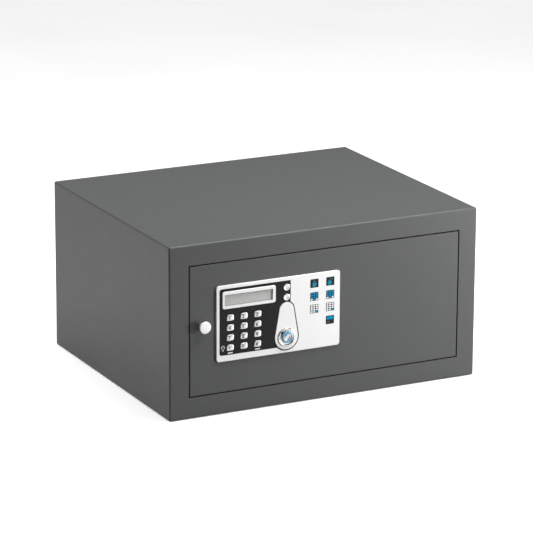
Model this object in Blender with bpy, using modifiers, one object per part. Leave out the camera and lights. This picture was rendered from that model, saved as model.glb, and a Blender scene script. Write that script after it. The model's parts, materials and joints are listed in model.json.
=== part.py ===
"""In-room hotel safe: a folded steel box with a swing door, a keypad lock, motor-driven bolts
and a key override.

Metres. +X is to the right as one faces the door, +Y to the back, +Z up. The origin is the centre
of the underside. Places are given as (x from the left side, y back from the front face, z up from
the underside), and spot() turns them into world coordinates, so what stands proud of the door has
a negative y.
"""

import math

import bmesh
import bpy
from mathutils import Matrix, Vector

# Body
WIDTH, DEPTH, HEIGHT = 0.430, 0.352, 0.222
SHEET = 0.002
FRONT_PLATE = 0.004
BODY_RADIUS = 0.0025
FIT = 0.0003
CUT_PAST = 0.010
BACK_ANCHORS = ((0.115, 0.111), (0.315, 0.111))
FLOOR_ANCHORS = ((0.115, 0.176), (0.315, 0.176))
ANCHOR_RADIUS = 0.0045
MAT_MARGIN, MAT_FRONT, MAT_THICKNESS = 0.004, 0.008, 0.0027
STRIKE_LEFT, STRIKE_LEG, STRIKE_RIGHT = 0.006, 0.022, 0.0315
STRIKE_LOW, STRIKE_TOP, STRIKE_DEEP = 0.034, 0.190, 0.045

# Door and its hinge
DOOR_LEFT, DOOR_RIGHT = 0.0278, 0.4033
DOOR_LOW, DOOR_TOP = 0.02855, 0.19405
SEAM = 0.0015
HINGE_X, HINGE_Y = DOOR_RIGHT - 0.040, 0.009
PIN_RADIUS, PIN_REACH = 0.0025, 0.028
PIN_HEAD_RADIUS, PIN_HEAD = 0.0044, 0.0022
PIN_CLEARANCE = 0.00006
PIN_BORE = PIN_RADIUS + PIN_CLEARANCE
HINGE_BLOCK_HALF, HINGE_BLOCK_BACK, HINGE_BLOCK_HEIGHT = 0.0135, 0.0165, 0.013
KNUCKLE_HALF, KNUCKLE_BACK, KNUCKLE_HEIGHT = 0.009, 0.0145, 0.0131
HINGE_ABOVE_DOOR = SEAM + 0.002

# Inner cover on the back of the door
COVER_LEFT, COVER_RIGHT = 0.036, 0.352
COVER_LOW, COVER_TOP = 0.036, 0.187
COVER_BACK, COVER_RADIUS = 0.044, 0.004
COVER_SCREWS = [(x, z) for z in (0.046, 0.177) for x in (0.046, 0.342)]
POST_RADIUS, THREAD_HOLE, SCREW_HOLE = 0.004, 0.0018, 0.0020
RAIL_WIDTH, RAIL_PROUD = 0.0025, 0.003

# Bolts, rack and pinion
BOLT_RADIUS, BOLT_Y = 0.007, 0.024
BOLT_HEIGHTS = (0.066, 0.157)
BOLT_TIP, CARRIAGE_X = 0.034, 0.056
CARRIAGE_THICKNESS, CARRIAGE_BACK, CARRIAGE_OVERHANG = 0.0025, 0.034, 0.010
ARM_LOW, ARM_TOP = 0.105, 0.113
ARM_FRONT, ARM_END = 0.014, 0.150
MODULE, PINION_TEETH = 0.001, 16
PRESSURE_ANGLE = math.radians(20)
PITCH_RADIUS = MODULE * PINION_TEETH / 2
PINION_X, PITCH_LINE_Y = 0.125, 0.019
PINION_Y = PITCH_LINE_Y + PITCH_RADIUS
ADDENDUM, DEDENDUM = 0.0008, 0.0014
BACKLASH = 0.0003
STUB_RADIUS, STUB_LOW = 0.0015, 0.096
MOTOR_LOW, MOTOR_STEP, MOTOR_TOP = 0.064, 0.084, 0.103
MOTOR_RADIUS, GEARBOX_RADIUS, BUSH_RADIUS = 0.0080, 0.0100, 0.0017

# Control panel on the front of the door
FASCIA_LEFT, FASCIA_RIGHT = 0.063, 0.2334
FASCIA_LOW, FASCIA_TOP = 0.0682, 0.1655
FASCIA_FRONT = -0.0022
INSERT_LEFT, INSERT_RIGHT = 0.0669, 0.1644
INSERT_LOW, INSERT_TOP = 0.0767, 0.1612
INSERT_FRONT, INSERT_BACK = -0.0023, -0.0018
RECESS_FLOOR = -0.0015
BEZEL_LEFT, BEZEL_RIGHT = 0.0704, 0.1434
BEZEL_LOW, BEZEL_TOP = 0.1355, 0.1577
BEZEL_FRONT = -0.0033
WINDOW_LEFT, WINDOW_RIGHT = 0.0734, 0.1394
WINDOW_LOW, WINDOW_TOP = 0.1392, 0.1535
CONTACT_X, CONTACT_HEIGHTS, CONTACT_HOLE = 0.1587, (0.1401, 0.1529), 0.0032
KEY_COLUMNS = (0.0815, 0.1002, 0.1190)
KEY_ROWS = (0.1238, 0.1110, 0.0982, 0.0854)
KEY_NAMES = (("1", "2", "3"), ("4", "5", "6"), ("7", "8", "9"), ("light", "0", "lock"))
KEY_WIDTH, KEY_HEIGHT = 0.0100, 0.0083
KEY_FRONT, KEY_FLANGE, KEY_BACK = -0.0038, -0.0015, -0.0006
FLANGE_WIDTH, KEY_CLEARANCE = 0.0010, 0.0004
BOARD_LEFT, BOARD_RIGHT = 0.0695, 0.1445
BOARD_LOW, BOARD_TOP = 0.0795, 0.1580

# Key override, in a surround shaped like a drop: a large and a small circle with a skin round both
LOCK_X, LOCK_Z = 0.1586, 0.0888
DROP_CIRCLES = ((0.1586, 0.0885, 0.0160), (0.1586, 0.1236, 0.0100))
DROP_OUTLINE = 0.0013
DROP_FRONT = -0.0032
BARREL_RADIUS, BARREL_HOLE = 0.0095, 0.0098
COLLAR_RADIUS, COLLAR_BORE, PLUG_RADIUS = 0.0075, 0.0050, 0.0047
LOCK_FLANGE_RADIUS, LOCK_FLANGE_FRONT = 0.01175, 0.0048
NOTCH_CIRCLE, NOTCH_RADIUS = 0.0092, 0.0012
NUT_Y, CAM_Y = 0.0063, 0.0216

# Pull knob and battery compartment
KNOB_X, KNOB_Z = 0.0448, 0.1172
KNOB_RADIUS, KNOB_FRONT, KNOB_HOLE = 0.0077, 0.0090, 0.0024
HOLDER_LEFT, HOLDER_RIGHT = 0.223, 0.287
HOLDER_LOW, HOLDER_TOP = 0.082, 0.142
HOLDER_FRONT, HOLDER_BACK = 0.024, 0.0414
HOLDER_WALL, HOLDER_FLOOR, HOLDER_FEET = 0.002, 0.0015, (0.235, 0.265)
CELL_RADIUS, CELL_LENGTH, CELL_PITCH, CELL_Y = 0.00705, 0.0505, 0.015, 0.0330

# Looks: colour, roughness, metallic
LOOKS = {
    "anthracite": ((0.115, 0.119, 0.118), 0.55, 0.0),
    "black_sheet": ((0.030, 0.030, 0.031), 0.60, 0.0),
    "zinc": ((0.60, 0.61, 0.62), 0.35, 1.0),
    "chrome": ((0.80, 0.80, 0.80), 0.12, 1.0),
    "brass": ((0.72, 0.55, 0.25), 0.30, 1.0),
    "felt": ((0.045, 0.045, 0.048), 0.95, 0.0),
    "white_gloss": ((0.86, 0.86, 0.86), 0.25, 0.0),
    "black_gloss": ((0.032, 0.031, 0.029), 0.35, 0.0),
    "black_plastic": ((0.040, 0.040, 0.040), 0.50, 0.0),
    "silver_plastic": ((0.62, 0.63, 0.65), 0.35, 0.1),
    "blue_plastic": ((0.060, 0.300, 0.620), 0.35, 0.0),
    "display_grey": ((0.420, 0.410, 0.390), 0.40, 0.0),
    "clear_window": ((0.550, 0.560, 0.560), 0.10, 0.0),
    "board_green": ((0.030, 0.160, 0.060), 0.45, 0.0),
    "key_rubber": ((0.250, 0.250, 0.250), 0.80, 0.0),
    "cell_wrap": ((0.100, 0.100, 0.110), 0.35, 0.2),
}

# Which way a turned shape's axis points, and the plane that a flat outline lies in
FACING = {
    "up": (0.0, 0.0, 0.0),
    "down": (math.pi, 0.0, 0.0),
    "front": (math.pi / 2, 0.0, 0.0),
    "back": (-math.pi / 2, 0.0, 0.0),
    "left": (0.0, -math.pi / 2, 0.0),
}
PLAN_VIEW = Matrix.Identity(4)
FRONT_VIEW = Matrix.Rotation(math.pi / 2, 4, "X")


def clear_scene():
    for obj in list(bpy.data.objects):
        bpy.data.objects.remove(obj, do_unlink=True)


def new_collection(name, rendered):
    made = bpy.data.collections.new(name)
    made.hide_render = not rendered
    bpy.context.scene.collection.children.link(made)
    return made


clear_scene()
SAFE = new_collection("in_room_safe", rendered=True)
CUTTERS = new_collection("cutters", rendered=False)


def spot(x, y, z):
    """World position of a place measured from the left side, the front face and the underside."""
    return Vector((x - WIDTH / 2, y - DEPTH / 2, z))


def paint(obj, look):
    colour, roughness, metallic = LOOKS[look]
    material = bpy.data.materials.new(obj.name)
    material.use_nodes = True
    shader = material.node_tree.nodes["Principled BSDF"]
    shader.inputs["Base Color"].default_value = (*colour, 1.0)
    shader.inputs["Roughness"].default_value = roughness
    shader.inputs["Metallic"].default_value = metallic
    obj.data.materials.append(material)


def add(name, mesh, centre, look, turn=(0.0, 0.0, 0.0)):
    """An object of the safe or, without a look, a helper that cuts or joins another."""
    obj = bpy.data.objects.new(name, mesh)
    obj.location = centre
    obj.rotation_euler = turn
    if look:
        SAFE.objects.link(obj)
        paint(obj, look)
    else:
        CUTTERS.objects.link(obj)
        obj.hide_render = True
        obj.display_type = "WIRE"
    return obj


def mesh_from(shape, name):
    mesh = bpy.data.meshes.new(name)
    shape.to_mesh(mesh)
    shape.free()
    return mesh


def soften(obj, width, steps=2):
    bevel = obj.modifiers.new("Softened edges", "BEVEL")
    bevel.width = width
    bevel.segments = steps
    bevel.limit_method = "ANGLE"
    bevel.angle_limit = math.radians(50)


def block(name, low, high, look=None, corner=0.0, along="Y", steps=4, rim=0.0):
    """A box between two places. corner rounds its four edges along one axis, rim its other edges."""
    low, high = spot(*low), spot(*high)
    size = high - low
    shape = bmesh.new()
    bmesh.ops.create_cube(shape, size=1.0, matrix=Matrix.Diagonal((*size, 1.0)))
    if corner:
        axis = "XYZ".index(along)
        edges = [
            edge
            for edge in shape.edges
            if abs((edge.verts[0].co - edge.verts[1].co)[axis]) > 1e-6
        ]
        bmesh.ops.bevel(
            shape, geom=edges, offset=corner, segments=steps, profile=0.5, affect="EDGES"
        )
    obj = add(name, mesh_from(shape, name), (low + high) / 2, look)
    if rim:
        soften(obj, rim)
    return obj


def rod(name, centre, radius, length, facing, look=None, steps=24):
    shape = bmesh.new()
    bmesh.ops.create_cone(
        shape, cap_ends=True, segments=steps, radius1=radius, radius2=radius, depth=length
    )
    return add(name, mesh_from(shape, name), centre, look, FACING[facing])


def turned(name, profile, centre, look=None, facing="front", steps=24):
    """A profile of (radius, height) points turned round the axis that points to facing.

    It runs from the top, down the outer side. A profile off the axis is closed to make a ring.
    """
    edges = [(point, point + 1) for point in range(len(profile) - 1)]
    if profile[0][0] > 0:
        edges.append((len(profile) - 1, 0))
    mesh = bpy.data.meshes.new(name)
    mesh.from_pydata([(radius, 0.0, height) for radius, height in profile], edges, [])
    obj = add(name, mesh, centre, look, FACING[facing])
    screw = obj.modifiers.new("Turn", "SCREW")
    screw.axis = "Z"
    screw.angle = 2 * math.pi
    screw.steps = screw.render_steps = steps
    screw.use_merge_vertices = True
    screw.merge_threshold = 0.00001
    screw.use_smooth_shade = True
    return obj


def slab(name, points, thickness, centre, plane=PLAN_VIEW, look=None):
    """A flat outline in its plane, given a thickness and made a mesh so that it can be cut."""
    curve = bpy.data.curves.new(name, "CURVE")
    curve.dimensions = "2D"
    curve.fill_mode = "BOTH"
    curve.extrude = thickness / 2
    spline = curve.splines.new("POLY")
    spline.points.add(len(points) - 1)
    for point, (x, y) in zip(spline.points, points):
        point.co = (x, y, 0.0, 1.0)
    spline.use_cyclic_u = True
    source = bpy.data.objects.new(name + "_outline", curve)
    SAFE.objects.link(source)
    bpy.context.view_layer.update()
    graph = bpy.context.evaluated_depsgraph_get()
    shape = bmesh.new()
    shape.from_mesh(bpy.data.meshes.new_from_object(source.evaluated_get(graph)))
    bpy.data.objects.remove(source, do_unlink=True)
    bmesh.ops.remove_doubles(shape, verts=shape.verts, dist=0.000001)
    bmesh.ops.recalc_face_normals(shape, faces=shape.faces)
    return add(name, mesh_from(shape, name), centre, look, plane.to_euler())


def combine(obj, operation, tools):
    for tool in tools:
        boolean = obj.modifiers.new(f"{operation.title()} {tool.name}", "BOOLEAN")
        boolean.operation = operation
        boolean.object = tool


def cut(obj, *tools):
    combine(obj, "DIFFERENCE", tools)


def join(obj, *tools):
    combine(obj, "UNION", tools)


def pivot(name, place, parent=None):
    """An empty on a joint's axis."""
    empty = bpy.data.objects.new(name, None)
    empty.location = place
    SAFE.objects.link(empty)
    if parent:
        hang(empty, parent)
    return empty


def hang(obj, parent):
    """Parents an object without moving it: every parent here is a pivot that isn't turned."""
    obj.parent = parent
    obj.matrix_parent_inverse = parent.matrix_basis.inverted()


def body():
    """The folded box with its front frame, its back panel and the mat on its floor."""
    shape = bmesh.new()
    bmesh.ops.create_cube(shape, size=1.0, matrix=Matrix.Diagonal((WIDTH, DEPTH, HEIGHT, 1.0)))
    rear = DEPTH / 2 - 1e-6
    edges = [edge for edge in shape.edges if min(vert.co.y for vert in edge.verts) < rear]
    bmesh.ops.bevel(
        shape, geom=edges, offset=BODY_RADIUS, segments=3, profile=0.5, affect="EDGES"
    )
    middle = spot(WIDTH / 2, DEPTH / 2, HEIGHT / 2)
    shell = add("body_shell", mesh_from(shape, "body_shell"), middle, "anthracite")
    hollow = block(
        "cut_hollow",
        (SHEET, FRONT_PLATE, SHEET),
        (WIDTH - SHEET, DEPTH + CUT_PAST, HEIGHT - SHEET),
    )
    doorway = block(
        "cut_doorway",
        (DOOR_LEFT - SEAM, -CUT_PAST, DOOR_LOW - SEAM),
        (DOOR_RIGHT + SEAM, CUT_PAST, DOOR_TOP + SEAM),
    )
    floor_holes = [
        rod(f"cut_floor_anchor_{number}", spot(x, y, 0.0), ANCHOR_RADIUS, 2 * CUT_PAST, "up")
        for number, (x, y) in enumerate(FLOOR_ANCHORS, 1)
    ]
    cut(shell, hollow, doorway, *floor_holes)

    inset = SHEET + FIT
    panel = block(
        "back_panel",
        (inset, DEPTH - SHEET, inset),
        (WIDTH - inset, DEPTH, HEIGHT - inset),
        "anthracite",
    )
    back_holes = [
        rod(f"cut_back_anchor_{number}", spot(x, DEPTH, z), ANCHOR_RADIUS, 2 * CUT_PAST, "back")
        for number, (x, z) in enumerate(BACK_ANCHORS, 1)
    ]
    cut(panel, *back_holes)
    block(
        "floor_mat",
        (MAT_MARGIN, MAT_FRONT, SHEET + FIT),
        (WIDTH - MAT_MARGIN, DEPTH - MAT_MARGIN, SHEET + FIT + MAT_THICKNESS),
        "felt",
        corner=0.003,
        along="Z",
    )


def hinge(end, door):
    """One end of the hinge: a drilled block on the body, the pin, and the knuckle on the door."""
    low = end == "lower"
    if low:
        block_low = DOOR_LOW - HINGE_ABOVE_DOOR - HINGE_BLOCK_HEIGHT
    else:
        block_low = DOOR_TOP + HINGE_ABOVE_DOOR
    holder = block(
        f"hinge_block_{end}",
        (HINGE_X - HINGE_BLOCK_HALF, FRONT_PLATE + FIT, block_low),
        (HINGE_X + HINGE_BLOCK_HALF, HINGE_BLOCK_BACK, block_low + HINGE_BLOCK_HEIGHT),
        "zinc",
        rim=0.0006,
    )
    bore = rod(
        f"cut_hinge_block_{end}",
        spot(HINGE_X, HINGE_Y, block_low + HINGE_BLOCK_HEIGHT / 2),
        PIN_BORE,
        HINGE_BLOCK_HEIGHT + CUT_PAST,
        "up",
        steps=20,
    )
    cut(holder, bore)

    knuckle_low = DOOR_LOW + FIT if low else DOOR_TOP - FIT - KNUCKLE_HEIGHT
    knuckle = block(
        f"hinge_knuckle_{end}",
        (HINGE_X - KNUCKLE_HALF, FRONT_PLATE + FIT, knuckle_low),
        (HINGE_X + KNUCKLE_HALF, KNUCKLE_BACK, knuckle_low + KNUCKLE_HEIGHT),
        "zinc",
        rim=0.0006,
    )
    socket = rod(
        f"cut_hinge_knuckle_{end}",
        spot(HINGE_X, HINGE_Y, knuckle_low + KNUCKLE_HEIGHT / 2),
        PIN_BORE,
        KNUCKLE_HEIGHT + CUT_PAST,
        "up",
        steps=20,
    )
    cut(knuckle, socket)
    hang(knuckle, door)

    head_base = block_low - FIT if low else block_low + HINGE_BLOCK_HEIGHT + FIT
    turned(
        f"hinge_pin_{end}",
        (
            (0.0, PIN_REACH),
            (PIN_RADIUS - 0.0005, PIN_REACH),
            (PIN_RADIUS, PIN_REACH - 0.0005),
            (PIN_RADIUS, 0.0),
            (PIN_HEAD_RADIUS, 0.0),
            (PIN_HEAD_RADIUS, -PIN_HEAD),
            (0.0, -PIN_HEAD),
        ),
        spot(HINGE_X, HINGE_Y, head_base),
        "zinc",
        "up" if low else "down",
        steps=20,
    )


def strike_plate():
    """A folded plate left of the doorway: the door closes on its lip and the bolts enter its leg."""
    front = FRONT_PLATE + 0.0004
    back = front + SHEET
    leg_right = STRIKE_LEG + SHEET
    outline = (
        (STRIKE_LEFT, front),
        (STRIKE_RIGHT, front),
        (STRIKE_RIGHT, back),
        (leg_right, back),
        (leg_right, STRIKE_DEEP),
        (STRIKE_LEG, STRIKE_DEEP),
        (STRIKE_LEG, back),
        (STRIKE_LEFT, back),
    )
    middle = spot(0.0, 0.0, (STRIKE_LOW + STRIKE_TOP) / 2)
    plate = slab("strike_plate", outline, STRIKE_TOP - STRIKE_LOW, middle, look="zinc")
    half = BOLT_RADIUS + 0.0010
    holes = [
        block(
            f"cut_strike_{number}",
            (STRIKE_LEG - 0.005, BOLT_Y - half, height - half),
            (leg_right + 0.005, BOLT_Y + half, height + half),
        )
        for number, height in enumerate(BOLT_HEIGHTS, 1)
    ]
    cut(plate, *holes)


def drilling_through(name, x, z, radius, steps=24):
    """A cutter for a hole from front to back through the door and what lies on it."""
    return rod(name, spot(x, 0.0, z), radius, 2 * CUT_PAST, "front", steps=steps)


def door_plate(door):
    """The steel door, cut out behind the panel, with four welded posts that carry the inner cover."""
    plate = block(
        "door_plate",
        (DOOR_LEFT, 0.0, DOOR_LOW),
        (DOOR_RIGHT, FRONT_PLATE, DOOR_TOP),
        "anthracite",
        rim=0.0006,
    )
    post_end = COVER_BACK - SHEET - FIT
    for number, (x, z) in enumerate(COVER_SCREWS, 1):
        post = rod(
            f"join_post_{number}",
            spot(x, (post_end + SHEET) / 2, z),
            POST_RADIUS,
            post_end - SHEET,
            "front",
            steps=16,
        )
        drilling = rod(
            f"cut_post_{number}", spot(x, post_end, z), THREAD_HOLE, 0.024, "front", steps=16
        )
        join(plate, post)
        cut(plate, drilling)
    board_room = block(
        "cut_board_room",
        (BOARD_LEFT - 0.0005, -CUT_PAST, BOARD_LOW - 0.0005),
        (BOARD_RIGHT + 0.0005, CUT_PAST, BOARD_TOP + 0.0005),
    )
    lock_hole = drilling_through("cut_door_lock", LOCK_X, LOCK_Z, BARREL_HOLE)
    knob_hole = drilling_through("cut_door_knob", KNOB_X, KNOB_Z, KNOB_HOLE, 16)
    contact_holes = [
        drilling_through(f"cut_door_contact_{number}", CONTACT_X, height, CONTACT_HOLE, 16)
        for number, height in enumerate(CONTACT_HEIGHTS, 1)
    ]
    cut(plate, board_room, lock_hole, knob_hole, *contact_holes)
    hang(plate, door)


def inner_cover(door):
    """The deep cover on the back of the door, over the lock's works, and its four screws."""
    low = spot(COVER_LEFT, FRONT_PLATE + FIT, COVER_LOW)
    high = spot(COVER_RIGHT, COVER_BACK, COVER_TOP)
    size = high - low
    shape = bmesh.new()
    bmesh.ops.create_cube(shape, size=1.0, matrix=Matrix.Diagonal((*size, 1.0)))
    open_side = -size.y / 2 + 1e-6
    edges = [edge for edge in shape.edges if max(vert.co.y for vert in edge.verts) > open_side]
    bmesh.ops.bevel(
        shape, geom=edges, offset=COVER_RADIUS, segments=2, profile=0.5, affect="EDGES"
    )
    front = [face for face in shape.faces if face.normal.y < -0.99]
    bmesh.ops.delete(shape, geom=front, context="FACES")
    cover = add("inner_cover", mesh_from(shape, "inner_cover"), (low + high) / 2, "black_sheet")
    wall = cover.modifiers.new("Wall", "SOLIDIFY")
    wall.thickness = SHEET
    wall.offset = -1.0
    wall.use_even_offset = True

    for number, height in enumerate(BOLT_HEIGHTS, 1):
        hole = rod(
            f"cut_cover_bolt_{number}",
            spot(COVER_LEFT, BOLT_Y, height),
            BOLT_RADIUS + 0.0004,
            0.012,
            "left",
        )
        cut(cover, hole)
    for number, (x, z) in enumerate(COVER_SCREWS, 1):
        place = spot(x, COVER_BACK, z)
        cut(cover, rod(f"cut_cover_screw_{number}", place, SCREW_HOLE, 0.012, "front", steps=16))
        screw = turned(
            f"cover_screw_{number}",
            (
                (0.0, 0.0022),
                (0.0022, 0.0019),
                (0.0035, 0.0010),
                (0.0035, 0.0),
                (0.0015, 0.0),
                (0.0015, -0.0120),
                (0.0, -0.0120),
            ),
            spot(x, COVER_BACK + FIT, z),
            "zinc",
            "back",
            steps=12,
        )
        hang(screw, door)
    compartment = block(
        "cut_compartment",
        (HOLDER_LEFT + 0.003, COVER_BACK - 0.004, HOLDER_LOW + 0.003),
        (HOLDER_RIGHT - 0.003, COVER_BACK + 0.004, HOLDER_TOP - 0.003),
    )
    cut(cover, compartment)
    for side, x in (("left", HOLDER_LEFT - 0.004), ("right", HOLDER_RIGHT + 0.0015)):
        rail = block(
            f"join_rail_{side}",
            (x, COVER_BACK - 0.001, HOLDER_LOW - 0.018),
            (x + RAIL_WIDTH, COVER_BACK + RAIL_PROUD, HOLDER_TOP + 0.004),
        )
        join(cover, rail)
    hang(cover, door)


def drop(name, grow, front, back, look=None):
    """A prism whose outline is the skin round the drop's large and small circles."""
    shape = bmesh.new()
    for x, z, radius in DROP_CIRCLES:
        for y in (front, back):
            place = Matrix.Translation(spot(x, y, z)) @ FRONT_VIEW
            bmesh.ops.create_circle(shape, segments=28, radius=radius + grow, matrix=place)
    bmesh.ops.convex_hull(shape, input=shape.verts)
    inside = [vert for vert in shape.verts if not vert.link_faces]
    bmesh.ops.delete(shape, geom=inside, context="VERTS")
    loose = [edge for edge in shape.edges if not edge.link_faces]
    bmesh.ops.delete(shape, geom=loose, context="EDGES")
    bmesh.ops.dissolve_limit(
        shape, angle_limit=math.radians(1), verts=shape.verts, edges=shape.edges
    )
    bmesh.ops.recalc_face_normals(shape, faces=shape.faces)
    return add(name, mesh_from(shape, name), (0.0, 0.0, 0.0), look)


def fascia(door):
    """The white panel moulding, recessed for the insert and open behind the keys and the display."""
    panel = block(
        "fascia",
        (FASCIA_LEFT, FASCIA_FRONT, FASCIA_LOW),
        (FASCIA_RIGHT, -FIT, FASCIA_TOP),
        "white_gloss",
        corner=0.004,
        rim=0.0006,
    )
    recess = block(
        "cut_recess",
        (INSERT_LEFT - FIT, -CUT_PAST, INSERT_LOW - FIT),
        (INSERT_RIGHT + FIT, RECESS_FLOOR, INSERT_TOP + FIT),
    )
    drop_recess = drop("cut_drop_recess", DROP_OUTLINE + FIT, -0.0101, RECESS_FLOOR)
    key_window = block(
        "cut_key_window",
        (KEY_COLUMNS[0] - 0.0078, -CUT_PAST, KEY_ROWS[-1] - 0.0062),
        (KEY_COLUMNS[-1] + 0.0078, CUT_PAST, KEY_ROWS[0] + 0.0062),
    )
    display_window = block(
        "cut_display_window",
        (BEZEL_LEFT + 0.0018, -CUT_PAST, BEZEL_LOW + 0.0017),
        (BEZEL_RIGHT - 0.0014, CUT_PAST, BEZEL_TOP - 0.0015),
    )
    lock_hole = drilling_through("cut_fascia_lock", LOCK_X, LOCK_Z, BARREL_HOLE)
    contact_holes = [
        drilling_through(f"cut_fascia_contact_{number}", CONTACT_X, height, CONTACT_HOLE, 16)
        for number, height in enumerate(CONTACT_HEIGHTS, 1)
    ]
    cut(panel, recess, drop_recess, key_window, display_window, lock_hole, *contact_holes)
    hang(panel, door)


def keypad_insert(door):
    """The thin black insert round the keys, the display and the drop."""
    insert = block(
        "keypad_insert",
        (INSERT_LEFT, INSERT_FRONT, INSERT_LOW),
        (INSERT_RIGHT, INSERT_BACK, INSERT_TOP),
        "black_gloss",
    )
    join(insert, drop("join_drop_outline", DROP_OUTLINE, INSERT_FRONT, INSERT_BACK))
    cut(insert, drop("cut_drop", 0.0002, -0.0102, 0.010))
    cut(
        insert,
        block(
            "cut_bezel",
            (BEZEL_LEFT - FIT, -CUT_PAST, BEZEL_LOW - FIT),
            (BEZEL_RIGHT + FIT, CUT_PAST, BEZEL_TOP + FIT),
            corner=0.003,
        ),
    )
    for number, height in enumerate(CONTACT_HEIGHTS, 1):
        cut(insert, drilling_through(f"cut_insert_contact_{number}", CONTACT_X, height, 0.0048))
    for row, height in enumerate(KEY_ROWS, 1):
        for column, x in enumerate(KEY_COLUMNS, 1):
            half_width = KEY_WIDTH / 2 + KEY_CLEARANCE
            half_height = KEY_HEIGHT / 2 + KEY_CLEARANCE
            key_hole = block(
                f"cut_key_hole_{row}_{column}",
                (x - half_width, -CUT_PAST, height - half_height),
                (x + half_width, CUT_PAST, height + half_height),
                corner=0.0018,
                steps=2,
            )
            cut(insert, key_hole)
    hang(insert, door)


def display(door):
    """The display: a raised bezel, its window, and the module behind them."""
    bezel = block(
        "lcd_bezel",
        (BEZEL_LEFT, BEZEL_FRONT, BEZEL_LOW),
        (BEZEL_RIGHT, INSERT_BACK, BEZEL_TOP),
        "white_gloss",
        corner=0.0028,
        rim=0.0005,
    )
    opening = block(
        "cut_bezel_opening",
        (WINDOW_LEFT, -CUT_PAST, WINDOW_LOW),
        (WINDOW_RIGHT, CUT_PAST, WINDOW_TOP),
        corner=0.0008,
        steps=2,
    )
    cut(bezel, opening)
    window = block(
        "lcd_window",
        (WINDOW_LEFT + FIT, -0.0027, WINDOW_LOW + FIT),
        (WINDOW_RIGHT - FIT, -0.0022, WINDOW_TOP - FIT),
        "clear_window",
    )
    module = block(
        "lcd_module",
        (BEZEL_LEFT + 0.0022, -0.0015, BEZEL_LOW + 0.0021),
        (BEZEL_RIGHT - 0.0018, 0.0021, BEZEL_TOP - 0.0019),
        "display_grey",
    )
    for piece in (bezel, window, module):
        hang(piece, door)


def electronics(door):
    """The circuit board, the rubber mat under the keys and the two emergency battery contacts."""
    board = block(
        "main_board", (BOARD_LEFT, 0.0024, BOARD_LOW), (BOARD_RIGHT, 0.0040, BOARD_TOP), "board_green"
    )
    mat = block(
        "key_mat",
        (KEY_COLUMNS[0] - 0.0075, 0.0006, KEY_ROWS[-1] - 0.0056),
        (KEY_COLUMNS[-1] + 0.0075, 0.0021, KEY_ROWS[0] + 0.0060),
        "key_rubber",
        corner=0.002,
    )
    for end, height in zip(("lower", "upper"), CONTACT_HEIGHTS):
        contact = turned(
            f"battery_contact_{end}",
            (
                (0.0, 0.0026),
                (0.0024, 0.0026),
                (0.0027, 0.0031),
                (0.0041, 0.0031),
                (0.0045, 0.0027),
                (0.0045, 0.0018),
                (0.0029, 0.0018),
                (0.0029, -0.0075),
                (0.0, -0.0075),
            ),
            spot(CONTACT_X, 0.0, height),
            "zinc",
            steps=16,
        )
        hang(contact, door)
    hang(board, door)
    hang(mat, door)


def keys(door):
    """Twelve keys, each a soft-edged cap on a flange that stays behind the insert."""
    for names, height in zip(KEY_NAMES, KEY_ROWS):
        for name, x in zip(names, KEY_COLUMNS):
            half_width, half_height = KEY_WIDTH / 2, KEY_HEIGHT / 2
            flange_width, flange_height = half_width + FLANGE_WIDTH, half_height + FLANGE_WIDTH
            key = block(
                f"key_{name}",
                (x - half_width, KEY_FRONT, height - half_height),
                (x + half_width, KEY_BACK, height + half_height),
                "silver_plastic",
                corner=0.0016,
                steps=2,
                rim=0.0009,
            )
            base = block(
                f"join_key_{name}",
                (x - flange_width, KEY_FLANGE, height - flange_height),
                (x + flange_width, KEY_BACK + 0.00005, height + flange_height),
            )
            join(key, base)
            hang(key, pivot(f"key_{name}_travel", key.location, door))


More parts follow.
